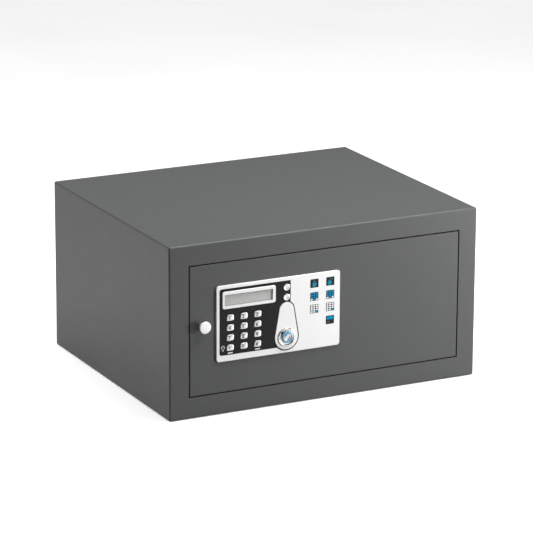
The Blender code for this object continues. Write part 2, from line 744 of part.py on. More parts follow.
def lock_cylinder(door):
    """The override lock: surround, notched chrome body and nut, blue collar, plug and cam."""
    surround = drop("lock_surround", 0.0, DROP_FRONT, INSERT_BACK, "white_gloss")
    soften(surround, 0.0005)
    centre = spot(LOCK_X, 0.0, LOCK_Z)
    cut(surround, drilling_through("cut_surround_lock", LOCK_X, LOCK_Z, BARREL_HOLE))

    flange_back = FIT - DROP_FRONT
    collar_room, barrel_end = -0.0020, -0.0180
    collar_wall, plug_wall = COLLAR_RADIUS + 0.0001, PLUG_RADIUS + PIN_CLEARANCE
    barrel = turned(
        "lock_body",
        (
            (collar_wall, LOCK_FLANGE_FRONT),
            (LOCK_FLANGE_RADIUS - 0.0008, LOCK_FLANGE_FRONT),
            (LOCK_FLANGE_RADIUS, LOCK_FLANGE_FRONT - 0.0006),
            (LOCK_FLANGE_RADIUS, flange_back),
            (BARREL_RADIUS, flange_back),
            (BARREL_RADIUS, barrel_end),
            (plug_wall, barrel_end),
            (plug_wall, collar_room),
            (collar_wall, collar_room),
        ),
        centre,
        "chrome",
        steps=28,
    )
    notch_offset = NOTCH_CIRCLE * math.sqrt(0.5)
    notches = [
        rod(
            f"cut_notch_{number}",
            spot(LOCK_X + side * notch_offset, -LOCK_FLANGE_FRONT, LOCK_Z - side * notch_offset),
            NOTCH_RADIUS,
            0.0020,
            "front",
            steps=12,
        )
        for number, side in enumerate((-1, 1), 1)
    ]
    cut(barrel, *notches)
    collar_front, collar_back = 0.0068, collar_room + FIT
    collar = turned(
        "lock_collar",
        (
            (COLLAR_BORE + 0.0004, collar_front),
            (COLLAR_RADIUS - 0.0007, collar_front),
            (COLLAR_RADIUS, collar_front - 0.0007),
            (COLLAR_RADIUS, collar_back),
            (COLLAR_BORE, collar_back),
            (COLLAR_BORE, collar_front - 0.0004),
        ),
        centre,
        "blue_plastic",
        steps=28,
    )
    nut = rod("lock_nut", spot(LOCK_X, NUT_Y, LOCK_Z), 0.0150, 0.0040, "front", "zinc", steps=6)
    cut(nut, rod("cut_nut", spot(LOCK_X, NUT_Y, LOCK_Z), BARREL_HOLE, CUT_PAST, "front"))
    for piece in (surround, barrel, collar, nut):
        hang(piece, door)

    axis = pivot("override_lock", centre, door)
    plug_front, plug_end = 0.0062, -0.0245
    plug = turned(
        "lock_plug",
        (
            (0.0, plug_front - 0.0004),
            (0.0024, plug_front - 0.0004),
            (0.0024, plug_front - 0.0012),
            (0.0033, plug_front - 0.0012),
            (0.0033, plug_front),
            (PLUG_RADIUS - 0.0003, plug_front),
            (PLUG_RADIUS, plug_front - 0.0003),
            (PLUG_RADIUS, -0.0190),
            (0.0029, -0.0190),
            (0.0029, plug_end),
            (0.0, plug_end),
        ),
        centre,
        "zinc",
        steps=20,
    )
    cam_length, cam_radius, cam_tip = 0.0115, 0.0048, 0.0034
    side = [math.pi * step / 8 for step in range(9)]
    outline = [(cam_radius * math.cos(turn), cam_radius * math.sin(turn)) for turn in side]
    outline += [
        (-cam_tip * math.cos(turn), -cam_length - cam_tip * math.sin(turn)) for turn in side
    ]
    cam = slab("lock_cam", outline, SHEET, spot(LOCK_X, CAM_Y, LOCK_Z), FRONT_VIEW, "zinc")
    cut(cam, rod("cut_cam", spot(LOCK_X, CAM_Y, LOCK_Z), 0.0030, CUT_PAST, "front"))
    hang(plug, axis)
    hang(cam, axis)


def pull_knob(door):
    """The fixed knob that the door is pulled open by, and the screw that holds it from behind."""
    place = spot(KNOB_X, 0.0, KNOB_Z)
    knob = turned(
        "pull_knob",
        (
            (0.0, KNOB_FRONT),
            (0.0050, KNOB_FRONT - 0.0001),
            (0.0070, KNOB_FRONT - 0.0004),
            (KNOB_RADIUS, KNOB_FRONT - 0.0011),
            (KNOB_RADIUS, KNOB_FRONT - 0.0018),
            (KNOB_RADIUS - 0.0005, KNOB_FRONT - 0.0023),
            (0.0050, KNOB_FRONT - 0.0032),
            (0.0042, KNOB_FRONT - 0.0044),
            (0.0042, FIT),
            (0.0022, FIT),
            (0.0022, 0.0050),
            (0.0, 0.0050),
        ),
        place,
        "white_gloss",
    )
    screw = turned(
        "knob_screw",
        (
            (0.0, 0.0044),
            (0.0018, 0.0044),
            (0.0018, -0.0043),
            (0.0040, -0.0043),
            (0.0040, -0.0058),
            (0.0022, -0.0068),
            (0.0, -0.0068),
        ),
        place,
        "zinc",
        steps=20,
    )
    hang(knob, door)
    hang(screw, door)


def rack_outline():
    """The rack arm seen from above: a bar whose rear edge carries the teeth that meet the pinion."""
    pitch = math.pi * MODULE
    slope = math.tan(PRESSURE_ANGLE)
    half_tooth = pitch / 4 - BACKLASH / 4
    root, tip = PITCH_LINE_Y - DEDENDUM, PITCH_LINE_Y + ADDENDUM
    points = [(ARM_END, ARM_FRONT), (ARM_END, root)]
    for number in range(7, -3, -1):
        centre = PINION_X + (number - 0.5) * pitch
        foot, top = half_tooth + DEDENDUM * slope, half_tooth - ADDENDUM * slope
        points += [
            (centre + foot, root),
            (centre + top, tip),
            (centre - top, tip),
            (centre - foot, root),
        ]
    points += [(CARRIAGE_X + 0.001, root), (CARRIAGE_X + 0.001, ARM_FRONT)]
    return points


def pinion_outline():
    """An involute gear with a tooth pointing to the front, where the rack has a gap."""
    base = PITCH_RADIUS * math.cos(PRESSURE_ANGLE)
    root, outer = PITCH_RADIUS - DEDENDUM, PITCH_RADIUS + ADDENDUM
    half_at_pitch = (math.pi * MODULE / 2 - BACKLASH) / 2 / PITCH_RADIUS
    swept = math.tan(PRESSURE_ANGLE) - PRESSURE_ANGLE
    flank = []
    for step in range(3):
        radius = base + (outer - base) * step / 2
        angle = math.acos(base / radius)
        flank.append((radius, half_at_pitch + swept - (math.tan(angle) - angle)))
    flank.insert(0, (root, flank[0][1]))
    tooth = [(radius, -half) for radius, half in flank] + list(reversed(flank))
    points = []
    for number in range(PINION_TEETH):
        turn = 2 * math.pi * number / PINION_TEETH - math.pi / 2
        points += [
            (radius * math.cos(turn + angle), radius * math.sin(turn + angle))
            for radius, angle in tooth
        ]
    return points


def bolt_work(door):
    """Two bolts on a carriage whose rack is driven by the motor's pinion through a guide."""
    arm_height = ARM_TOP - ARM_LOW
    sliding = pivot("bolt_slide", spot(BOLT_TIP, BOLT_Y, (ARM_LOW + ARM_TOP) / 2), door)
    carriage = block(
        "bolt_carriage",
        (CARRIAGE_X, ARM_FRONT, BOLT_HEIGHTS[0] - CARRIAGE_OVERHANG),
        (CARRIAGE_X + CARRIAGE_THICKNESS, CARRIAGE_BACK, BOLT_HEIGHTS[1] + CARRIAGE_OVERHANG),
        "zinc",
    )
    arm_centre = spot(0.0, 0.0, (ARM_LOW + ARM_TOP) / 2)
    join(carriage, slab("join_rack", rack_outline(), arm_height, arm_centre))
    hang(carriage, sliding)
    length = CARRIAGE_X - FIT - BOLT_TIP
    for end, height in zip(("lower", "upper"), BOLT_HEIGHTS):
        bolt = turned(
            f"bolt_{end}",
            (
                (0.0, length),
                (BOLT_RADIUS - 0.0015, length),
                (BOLT_RADIUS, length - 0.0015),
                (BOLT_RADIUS, 0.0),
                (0.0, 0.0),
            ),
            spot(CARRIAGE_X - FIT, BOLT_Y, height),
            "zinc",
            "left",
        )
        hang(bolt, sliding)

    guide = block(
        "carriage_guide", (0.090, FRONT_PLATE + FIT, 0.060), (0.104, 0.026, 0.118), "black_plastic"
    )
    guide_hole = block(
        "cut_guide",
        (0.080, ARM_FRONT - FIT, ARM_LOW - FIT),
        (0.114, PITCH_LINE_Y + ADDENDUM + FIT, ARM_TOP + FIT),
    )
    cut(guide, guide_hole)
    hang(guide, door)

    centre = spot(PINION_X, PINION_Y, (ARM_LOW + ARM_TOP) / 2)
    gear = slab("drive_pinion", pinion_outline(), arm_height, centre, look="brass")
    stub_top = ARM_LOW + 0.001
    stub = rod(
        "join_stub",
        spot(PINION_X, PINION_Y, (STUB_LOW + stub_top) / 2),
        STUB_RADIUS,
        stub_top - STUB_LOW,
        "up",
        steps=16,
    )
    join(gear, stub)
    hang(gear, pivot("pinion_turn", centre, door))

    motor = turned(
        "gear_motor",
        (
            (0.0, STUB_LOW - 0.001),
            (BUSH_RADIUS, STUB_LOW - 0.001),
            (BUSH_RADIUS, MOTOR_TOP),
            (GEARBOX_RADIUS, MOTOR_TOP),
            (GEARBOX_RADIUS, MOTOR_STEP),
            (MOTOR_RADIUS, MOTOR_STEP),
            (MOTOR_RADIUS, MOTOR_LOW),
            (0.0, MOTOR_LOW),
        ),
        spot(PINION_X, PINION_Y, 0.0),
        "zinc",
        "up",
    )
    foot = block("join_motor_foot", (0.115, FRONT_PLATE + FIT, 0.0645), (0.135, 0.0235, 0.077))
    join(motor, foot)
    hang(motor, door)


def batteries(door):
    """The battery holder, its four cells, and the lid that slides down over the inner cover."""
    holder = block(
        "battery_holder",
        (HOLDER_LEFT, HOLDER_FRONT, HOLDER_LOW),
        (HOLDER_RIGHT, HOLDER_BACK, HOLDER_TOP),
        "black_plastic",
    )
    for number, x in enumerate(HOLDER_FEET, 1):
        foot = block(
            f"join_holder_foot_{number}",
            (x, FRONT_PLATE + FIT, 0.105),
            (x + 0.010, HOLDER_FRONT + 0.0005, 0.119),
        )
        join(holder, foot)
    tray = block(
        "cut_tray",
        (HOLDER_LEFT + HOLDER_WALL, HOLDER_FRONT + HOLDER_FLOOR, HOLDER_LOW + HOLDER_WALL),
        (HOLDER_RIGHT - HOLDER_WALL, HOLDER_BACK + CUT_PAST, HOLDER_TOP - HOLDER_WALL),
    )
    cut(holder, tray)
    hang(holder, door)
    for number in range(4):
        x = (HOLDER_LEFT + HOLDER_RIGHT) / 2 + (number - 1.5) * CELL_PITCH
        upright = number % 2 == 0
        cell = turned(
            f"battery_{number + 1}",
            (
                (0.0, CELL_LENGTH),
                (0.0027, CELL_LENGTH),
                (0.0027, CELL_LENGTH - 0.0012),
                (CELL_RADIUS - 0.0005, CELL_LENGTH - 0.0014),
                (CELL_RADIUS, CELL_LENGTH - 0.0020),
                (CELL_RADIUS, 0.0005),
                (CELL_RADIUS - 0.0005, 0.0),
                (0.0, 0.0),
            ),
            spot(x, CELL_Y, HOLDER_LOW + 0.004 if upright else HOLDER_TOP - 0.0045),
            "cell_wrap",
            "up" if upright else "down",
            steps=16,
        )
        hang(cell, door)
    lid = block(
        "battery_lid",
        (HOLDER_LEFT - 0.001, COVER_BACK + FIT, HOLDER_LOW - 0.002),
        (HOLDER_RIGHT + 0.001, COVER_BACK + 0.0023, HOLDER_TOP + 0.002),
        "black_plastic",
        rim=0.0005,
    )
    hang(lid, pivot("battery_lid_slide", lid.location, door))


def main():
    door = pivot("door_hinge", spot(HINGE_X, HINGE_Y, 0.0))
    body()
    strike_plate()
    hinge("lower", door)
    hinge("upper", door)
    door_plate(door)
    inner_cover(door)
    fascia(door)
    keypad_insert(door)
    display(door)
    electronics(door)
    keys(door)
    lock_cylinder(door)
    pull_knob(door)
    bolt_work(door)
    batteries(door)


main()
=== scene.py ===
"""Looks of the in-room safe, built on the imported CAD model.

Metres, in the frame of the part: +X right along the front, +Y to the back, +Z up. Every size and
place comes from the boxes of the CAD nodes. What faces the user faces -Y, so a front is a box's
low y.
"""

import json
import math

import bmesh
import bpy
from mathutils import Matrix, Quaternion, Vector


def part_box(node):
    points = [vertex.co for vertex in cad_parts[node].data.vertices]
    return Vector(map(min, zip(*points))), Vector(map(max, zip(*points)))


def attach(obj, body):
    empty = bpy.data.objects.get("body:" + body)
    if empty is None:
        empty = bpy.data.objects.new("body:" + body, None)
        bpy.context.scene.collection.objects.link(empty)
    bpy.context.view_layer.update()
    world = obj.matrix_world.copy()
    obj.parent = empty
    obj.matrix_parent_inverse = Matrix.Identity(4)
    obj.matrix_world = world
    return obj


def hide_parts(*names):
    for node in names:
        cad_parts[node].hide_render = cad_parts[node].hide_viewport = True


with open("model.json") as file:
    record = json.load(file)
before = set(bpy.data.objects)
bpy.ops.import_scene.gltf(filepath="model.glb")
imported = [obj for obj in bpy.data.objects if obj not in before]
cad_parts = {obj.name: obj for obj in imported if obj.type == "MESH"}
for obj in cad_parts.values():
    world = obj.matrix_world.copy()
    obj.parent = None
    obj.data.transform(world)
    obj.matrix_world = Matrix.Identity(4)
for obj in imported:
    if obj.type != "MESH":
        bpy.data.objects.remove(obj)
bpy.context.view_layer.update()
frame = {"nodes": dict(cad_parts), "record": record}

# Camera
EYE = Vector((-1.7692, -3.5142, 1.2693))
LOOK_AZIMUTH, LOOK_DOWN, ROLL = math.radians(26.799), math.radians(16.21), math.radians(0.267)
LENS = 214.4

# Sizes that the boxes of the nodes don't give
BODY_RADIUS = 0.0023
SHEET, FRONT_PLATE = 0.002, 0.004
SEAM = 0.0015
FIT, PLAY = 0.0003, 0.0001
ANCHOR_PLACES, ANCHOR_RADIUS = (-0.1, 0.1), 0.0045
CAP_INSET = 0.00135
DROP_HEAD, DROP_TIP = 0.016, 0.010
DROP_BORDER = 0.0016
INSERT_ABOVE_DROP, INSERT_PAST_CONTACT = 0.0054, 0.0012
BARREL_HOLE, NOTCH_CIRCLE, NOTCH_RADIUS = 0.0098, 0.0092, 0.0015
KNOB_HOLE, CONTACT_HOLE, CONTACT_RING = 0.0024, 0.0032, 0.0046
POST_RADIUS, POST_DRILLING, SCREW_HOLE, BOLT_HOLE = 0.004, 0.0018, 0.0020, 0.0074
DROP_GAP, KEY_GAP, BOARD_GAP = 0.0002, 0.0004, 0.0005
SYMBOL_WIDTH, SYMBOL_HEIGHT = 0.0115, 0.0110
INK, LIFT = 0.00005, 0.000005

# How far a cutter reaches past what it cuts, and how long a drill is
OVERCUT, DRILL = 0.010, 0.020
# The small round on folded and pressed edges: its width, its steps and the least angle it takes
BROKEN_EDGE = (0.0004, 2, 60.0)
# The distances under which points are merged, and within which a point lies on a plane
MERGED, NEAR = 1e-7, 1e-6
# The band in which a noise texture mostly stays
NOISE_LOW, NOISE_HIGH = 0.3, 0.7

ENDS = ("lower", "upper")
COVER_SCREWS = [f"cover_screw_{number}" for number in range(1, 5)]
KEYS = [f"key_{name}" for name in (*"1234567890", "light", "lock")]
KEY_LABELS = {"key_light": "*", "key_lock": "#"}


# ---- materials


class Shader:
    """A Principled material under construction, textured in the object's own coordinates."""

    def __init__(self, name, **values):
        self.material = bpy.data.materials.new(name)
        self.material.use_nodes = True
        self.tree = self.material.node_tree
        self.principled = self.tree.nodes["Principled BSDF"]
        self.place = self.tree.nodes.new("ShaderNodeTexCoord").outputs["Object"]
        for socket, value in values.items():
            self.principled.inputs[socket.replace("_", " ")].default_value = value

    def node(self, kind, **values):
        made = self.tree.nodes.new(kind)
        for socket, value in values.items():
            made.inputs[socket.replace("_", " ")].default_value = value
        return made

    def link(self, source, target):
        self.tree.links.new(source, target)

    def noise(self, scale, detail=2.0, stretch=None):
        texture = self.node("ShaderNodeTexNoise", Scale=scale, Detail=detail)
        place = self.place
        if stretch:
            mapping = self.node("ShaderNodeMapping", Scale=stretch)
            self.link(place, mapping.inputs["Vector"])
            place = mapping.outputs["Vector"]
        self.link(place, texture.inputs["Vector"])
        return texture.outputs["Fac"]

    def colour(self, source, dark, light, low=NOISE_LOW, high=NOISE_HIGH):
        ramp = self.node("ShaderNodeValToRGB")
        for stop, place, colour in zip(ramp.color_ramp.elements, (low, high), (dark, light)):
            stop.position = place
            stop.color = (*colour, 1.0)
        self.link(source, ramp.inputs["Fac"])
        self.link(ramp.outputs["Color"], self.principled.inputs["Base Color"])

    def roughness(self, source, low, high):
        spread = self.node(
            "ShaderNodeMapRange", From_Min=NOISE_LOW, From_Max=NOISE_HIGH, To_Min=low, To_Max=high
        )
        self.link(source, spread.inputs["Value"])
        self.link(spread.outputs["Result"], self.principled.inputs["Roughness"])

    def bump(self, source, depth):
        relief = self.node("ShaderNodeBump", Distance=depth, Strength=1.0)
        self.link(source, relief.inputs["Height"])
        self.link(relief.outputs["Normal"], self.principled.inputs["Normal"])


def shades(colour, spread):
    """A darker and a lighter shade, a part of the colour apart on each side."""
    return [tuple(part * factor for part in colour) for factor in (1 - spread, 1 + spread)]


def coated(name, colour, grain=1500.0, depth=0.000012, rough=(0.40, 0.44)):
    """Powder coat: an even colour, a fine orange peel and a roughness that drifts."""
    shader = Shader(name, Specular_IOR_Level=0.2)
    shader.colour(shader.noise(60.0), *shades(colour, 0.012))
    shader.roughness(shader.noise(90.0), *rough)
    shader.bump(shader.noise(grain, 3.0), depth)
    return shader.material


def moulded(name, colour, rough=(0.18, 0.26), grain=700.0, depth=0.000003, spread=0.012, gloss=0.5):
    """Moulded plastic: near-even colour with a faint flow pattern and a barely wavy gloss."""
    shader = Shader(name, Specular_IOR_Level=gloss)
    shader.colour(shader.noise(55.0), *shades(colour, spread))
    shader.roughness(shader.noise(180.0), *rough)
    shader.bump(shader.noise(grain, 2.0), depth)
    return shader.material


def metal(name, colour, rough, stretch=None, depth=0.000004, spread=0.05):
    """Bare or plated metal, brushed along the axis that stretch leaves small."""
    shader = Shader(name, Metallic=1.0)
    shader.colour(shader.noise(120.0), *shades(colour, spread))
    shader.roughness(shader.noise(420.0, 3.0, stretch), *rough)
    shader.bump(shader.noise(900.0, 3.0, stretch), depth)
    return shader.material


def felt(name, colour):
    """Needled felt: tangled fibres in colour and relief, with a soft sheen."""
    shader = Shader(name, Sheen_Weight=0.6, Sheen_Roughness=0.5, Roughness=0.95)
    shader.colour(shader.noise(1400.0, 6.0, (1.0, 0.35, 1.0)), *shades(colour, 0.35), 0.4, 0.62)
    shader.bump(shader.noise(1900.0, 8.0), 0.0006)
    return shader.material


def display_face(name, colour):
    """A switched-off reflective display: a grey field with a faint grid of character cells."""
    dark, light = [(*tone, 1.0) for tone in shades(colour, 0.012)]
    shader = Shader(name, Roughness=0.45)
    cells = shader.node(
        "ShaderNodeTexBrick",
        Scale=1.0,
        Brick_Width=0.0036,
        Row_Height=0.0064,
        Mortar_Size=0.00025,
        Mortar_Smooth=0.4,
        Color1=dark,
        Color2=dark,
        Mortar=light,
    )
    cells.offset = 0.0
    turned_up = shader.node("ShaderNodeMapping", Rotation=(math.pi / 2, 0.0, 0.0))
    shader.link(shader.place, turned_up.inputs["Vector"])
    shader.link(turned_up.outputs["Vector"], cells.inputs["Vector"])
    shader.link(cells.outputs["Color"], shader.principled.inputs["Base Color"])
    return shader.material


def clear_window(name):
    """Thin clear plastic that lets most of what is behind it through."""
    shader = Shader(name, Alpha=0.10, Base_Color=(0.8, 0.82, 0.82, 1.0))
    shader.roughness(shader.noise(90.0), 0.04, 0.09)
    return shader.material


def circuit_board(name):
    """Green solder mask with paler tracks."""
    shader = Shader(name, Coat_Weight=0.3)
    tracks = shader.node("ShaderNodeTexVoronoi", Scale=260.0)
    tracks.distance = "MANHATTAN"
    shader.link(shader.place, tracks.inputs["Vector"])
    shader.colour(tracks.outputs["Distance"], (0.020, 0.120, 0.050), (0.035, 0.210, 0.085))
    shader.roughness(shader.noise(200.0), 0.30, 0.45)
    return shader.material


PAINT = coated("anthracite_coat", (0.0700, 0.0728, 0.0714))
COVER_PAINT = coated("black_coat", (0.030, 0.030, 0.031), 1100.0, 0.00003, (0.45, 0.6))
WHITE = moulded("white_gloss", (0.785, 0.785, 0.785))
# Painted light: the knob's white is lighter than the panel's white to make up for the light the
# knob's face misses
KNOB_WHITE_LIT = moulded("knob_white_brightened", (0.95, 0.95, 0.95), (0.3, 0.4))
BLACK = moulded("black_panel", (0.005, 0.005, 0.0045), (0.32, 0.42), 900.0, 0.000006, 0.05, 0.12)
SILVER_KEY = metal("silver_key", (0.41, 0.41, 0.415), (0.30, 0.40), depth=0.000002, spread=0.015)
DARK_PLASTIC = moulded("dark_plastic", (0.035, 0.035, 0.036), (0.42, 0.55), 1300.0, 0.00002, 0.06)
BLUE = moulded("blue_collar", (0.115, 0.330, 0.540), (0.22, 0.32), spread=0.03)
CELL_WRAP = moulded("cell_wrap", (0.060, 0.065, 0.080), (0.2, 0.3), spread=0.05)
RUBBER = moulded("key_rubber", (0.180, 0.180, 0.180), (0.7, 0.85), 1500.0, 0.00002, 0.05)
BLACK_INK = moulded("black_ink", (0.008, 0.007, 0.006), (0.4, 0.5), gloss=0.12)
# Grey for the painted shade ring round the display
SHADE_GREY_INK = moulded("bezel_shade_grey", (0.10, 0.10, 0.10), (0.4, 0.5))
PALE_INK = moulded("pale_ink", (0.52, 0.52, 0.50), (0.4, 0.5))
WHITE_INK = moulded("white_ink", (0.84, 0.84, 0.84), (0.4, 0.5))
BLUE_INK = moulded("blue_ink", (0.000, 0.255, 0.450), (0.4, 0.5), spread=0.04, gloss=0.05)
DIM_INK = moulded("dim_ink", (0.045, 0.120, 0.190), (0.4, 0.5), gloss=0.12)
CHROME = metal("lock_chrome", (0.50, 0.475, 0.44), (0.16, 0.24), depth=0.000001, spread=0.02)
NICKEL = metal("contact_nickel", (0.40, 0.385, 0.37), (0.30, 0.40), depth=0.000002)
ZINC = metal("zinc_plate", (0.40, 0.405, 0.41), (0.28, 0.42))
BRUSHED = metal("brushed_steel", (0.42, 0.42, 0.425), (0.25, 0.40), (0.05, 1.0, 1.0))
BRASS = metal("machined_brass", (0.70, 0.50, 0.20), (0.2, 0.32), (1.0, 1.0, 0.1))
FELT = felt("floor_felt", (0.040, 0.040, 0.043))
DISPLAY = display_face("display_face", (0.385, 0.376, 0.358))
WINDOW = clear_window("display_window")
BOARD = circuit_board("circuit_board")


# ---- mesh tools


def add_object(name, data):
    obj = bpy.data.objects.new(name, data)
    bpy.context.scene.collection.objects.link(obj)
    return obj


def mesh_object(name, shape, material, centre=(0.0, 0.0, 0.0)):
    """A finished shape as an object of the scene."""
    mesh = bpy.data.meshes.new(name)
    shape.to_mesh(mesh)
    shape.free()
    if material:
        mesh.materials.append(material)
    obj = add_object(name, mesh)
    obj.location = centre
    return obj


def smooth(obj, angle=32.0):
    """Smooth shading that keeps flats flat and edges sharper than the angle crisp."""
    obj.data.shade_smooth()
    obj.data.set_sharp_from_angle(angle=math.radians(angle))
    weights = obj.modifiers.new("Flat faces", "WEIGHTED_NORMAL")
    weights.keep_sharp = True
    return obj


def keep(obj, body, slot, *nodes, angle=32.0):
    """The last step of a piece: its shading and body, and the CAD nodes it stands for. The finish
    it is given is not used.
    """
    smooth(obj, angle)
    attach(obj, body)
    if nodes:
        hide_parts(*nodes)
    return obj


def apply_modifiers(obj):
    """Turns what the modifiers make of a mesh into the mesh itself."""
    graph = bpy.context.evaluated_depsgraph_get()
    graph.update()
    mesh = bpy.data.meshes.new_from_object(obj.evaluated_get(graph))
    obj.modifiers.clear()
    obj.data = mesh


def carve(obj, cutters, operation="DIFFERENCE"):
    """Cuts with, or joins, the other objects, which are then removed."""
    for cutter in cutters:
        boolean = obj.modifiers.new("Boolean", "BOOLEAN")
        boolean.operation = operation
        boolean.object = cutter
    apply_modifiers(obj)
    for cutter in cutters:
        bpy.data.objects.remove(cutter, do_unlink=True)
    return obj


def bevel_edges(shape, edges, radius, steps):
    bmesh.ops.bevel(
        shape,
        geom=edges,
        offset=radius,
        segments=steps,
        profile=0.5,
        affect="EDGES",
        clamp_overlap=True,
    )


def along(edge, axis):
    return abs((edge.verts[0].co - edge.verts[1].co)["xyz".index(axis)]) > MERGED


def cube(size):
    """The shape of a box round the origin."""
    shape = bmesh.new()
    bmesh.ops.create_cube(shape, size=1.0, matrix=Matrix.Diagonal((*size, 1.0)))
    return shape


def block(name, low, high, material=None, corner=0.0, axis="y", steps=8, rim=0.0, rim_steps=3):
    """A box whose edges along one axis are rounded by corner, then its front rim by rim."""
    low, high = Vector(low), Vector(high)
    shape = cube(high - low)
    if corner:
        bevel_edges(shape, [edge for edge in shape.edges if along(edge, axis)], corner, steps)
    if rim:
        front = min(vert.co.y for vert in shape.verts) + NEAR
        edges = [edge for edge in shape.edges if all(vert.co.y < front for vert in edge.verts)]
        bevel_edges(shape, edges, rim, rim_steps)
    return mesh_object(name, shape, material, (low + high) / 2)


def soften(obj, width, steps=2, angle=40.0):
    """Rounds every edge that is sharper than the angle."""
    bevel = obj.modifiers.new("Softened edges", "BEVEL")
    bevel.width = width
    bevel.segments = steps
    bevel.limit_method = "ANGLE"
    bevel.angle_limit = math.radians(angle)
    apply_modifiers(obj)
    return obj


FACING = {
    "up": Matrix.Identity(4),
    "down": Matrix.Rotation(math.pi, 4, "X"),
    "front": Matrix.Rotation(math.pi / 2, 4, "X"),
    "back": Matrix.Rotation(-math.pi / 2, 4, "X"),
    "left": Matrix.Rotation(-math.pi / 2, 4, "Y"),
}


def rod(name, centre, radius, length, facing="front", material=None, steps=48):
    """A plain cylinder round its centre."""
    shape = bmesh.new()
    bmesh.ops.create_cone(
        shape,
        cap_ends=True,
        segments=steps,
        radius1=radius,
        radius2=radius,
        depth=length,
        matrix=FACING[facing],
    )
    return mesh_object(name, shape, material, centre)


def turned(name, profile, centre, material, facing="front", steps=64):
    """(radius, height) points, from the top down the outer side, spun round the axis to facing."""
    shape = bmesh.new()
    verts = [shape.verts.new((radius, 0.0, height)) for radius, height in profile]
    edges = [shape.edges.new(pair) for pair in zip(verts, verts[1:])]
    if profile[0][0] > 0:
        edges.append(shape.edges.new((verts[-1], verts[0])))
    bmesh.ops.spin(
        shape,
        geom=verts + edges,
        axis=(0.0, 0.0, 1.0),
        angle=2 * math.pi,
        steps=steps,
        use_merge=True,
    )
    bmesh.ops.remove_doubles(shape, verts=shape.verts, dist=MERGED)
    bmesh.ops.recalc_face_normals(shape, faces=shape.faces)
    bmesh.ops.transform(shape, matrix=FACING[facing], verts=shape.verts)
    return mesh_object(name, shape, material, centre)


def arc(centre, radius, start, end, steps):
    """Points (across, up) on an arc between two angles, in degrees."""
    return [
        (
            centre[0] + radius * math.cos(math.radians(start + (end - start) * step / steps)),
            centre[1] + radius * math.sin(math.radians(start + (end - start) * step / steps)),
        )
        for step in range(steps + 1)
    ]


def add_prism(shape, outline, front, back):
    """Adds a flat outline in X and Z as a solid between two depths. Returns its front face."""
    face = shape.faces.new([shape.verts.new((x, back, z)) for x, z in outline])
    made = bmesh.ops.extrude_face_region(shape, geom=[face])
    verts = [item for item in made["geom"] if isinstance(item, bmesh.types.BMVert)]
    bmesh.ops.translate(shape, verts=verts, vec=(0.0, front - back, 0.0))
    return next(item for item in made["geom"] if isinstance(item, bmesh.types.BMFace))


def prism(name, outlines, front, back, material=None, rim=0.0):
    """One or more flat outlines in X and Z, each a solid between two depths."""
    shape = bmesh.new()
    fronts = [add_prism(shape, outline, front, back) for outline in outlines]
    bmesh.ops.recalc_face_normals(shape, faces=shape.faces)
    if rim:
        bevel_edges(shape, [edge for face in fronts for edge in face.edges], rim, 4)
    return mesh_object(name, shape, material)


def centre_of(node):
    low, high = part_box(node)
    return (low + high) / 2


def radius_of(node):
    """Half the width of a round node."""
    low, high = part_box(node)
    return (high.x - low.x) / 2


def on_axis(node, depth):
    """The place at a depth on a node's axis from front to back."""
    centre = centre_of(node)
    return Vector((centre.x, depth, centre.z))


def rod_at(name, node, depth, radius, length=DRILL):
    """A rod, mostly a drill, on a node's axis from front to back, with its middle at a depth."""
    return rod(name, on_axis(node, depth), radius, length)


def room(name, node, margin, front, back, **corners):
    """A box that cuts room for a node, with a margin in X and Z, between two depths."""
    low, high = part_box(node)
    return block(
        name,
        (low.x - margin, front, low.z - margin),
        (high.x + margin, back, high.z + margin),
        **corners,
    )


def grown(low, high, margin):
    """The left, right, low and high edge of a box, grown by a margin."""
    return low.x - margin, high.x + margin, low.z - margin, high.z + margin


def rounded_outline(left, right, low, high, radius, steps=4):
    """A rectangle with round corners, as points in X and Z."""
    return (
        arc((right - radius, high - radius), radius, 0, 90, steps)
        + arc((left + radius, high - radius), radius, 90, 180, steps)
        + arc((left + radius, low + radius), radius, 180, 270, steps)
        + arc((right - radius, low + radius), radius, 270, 360, steps)
    )


def bar(middle, half, low, high, radius, steps=2):
    """A rounded rectangle from its middle and half its width."""
    return rounded_outline(middle - half, middle + half, low, high, radius, steps)


def band(centre, outer, inner, start, end, steps):
    """A band along an arc, as points in X and Z."""
    inside = arc(centre, inner, start, end, steps)
    return arc(centre, outer, start, end, steps) + inside[::-1]


def copy_of(node, name, material, width=0.0003):
    """A CAD shape with its flats merged and its sharp edges broken, to stand for the node."""
    shape = bmesh.new()
    shape.from_mesh(frame["nodes"][node].data)
    bmesh.ops.remove_doubles(shape, verts=shape.verts, dist=MERGED)
    bmesh.ops.dissolve_limit(
        shape, angle_limit=math.radians(0.6), verts=shape.verts, edges=shape.edges
    )
    obj = mesh_object(name, shape, material)
    if width:
        soften(obj, width)
    record = frame["record"]
    body = next(body for body, nodes in record["behaviour"]["bodies"].items() if node in nodes)
    slot = next(part["material_slot"] for part in record["subparts"] if part["node"] == node)
    return keep(obj, body, slot, node)


# ---- body


def case():
    """The folded body, softly rounded outside, with the doorway's edges broken."""
    low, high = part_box("body_shell")
    size = high - low
    shape = cube(size)
    rear = size.y / 2 - NEAR
    folds = [edge for edge in shape.edges if min(vert.co.y for vert in edge.verts) < rear]
    bevel_edges(shape, folds, BODY_RADIUS, 6)
    body = mesh_object("case", shape, PAINT, (low + high) / 2)
    hollow = block(
        "hollow",
        low + Vector((SHEET, FRONT_PLATE, SHEET)),
        high + Vector((-SHEET, OVERCUT, -SHEET)),
    )
    doorway = room(
        "doorway", "door_plate", SEAM, low.y - OVERCUT, low.y + OVERCUT, corner=0.0006, steps=3
    )
    anchors = [rod("anchor", (x, 0.0, 0.0), ANCHOR_RADIUS, DRILL, "up") for x in ANCHOR_PLACES]
    carve(body, [hollow, doorway, *anchors])
    soften(body, *BROKEN_EDGE)
    keep(body, "root", "body_coat", "body_shell")


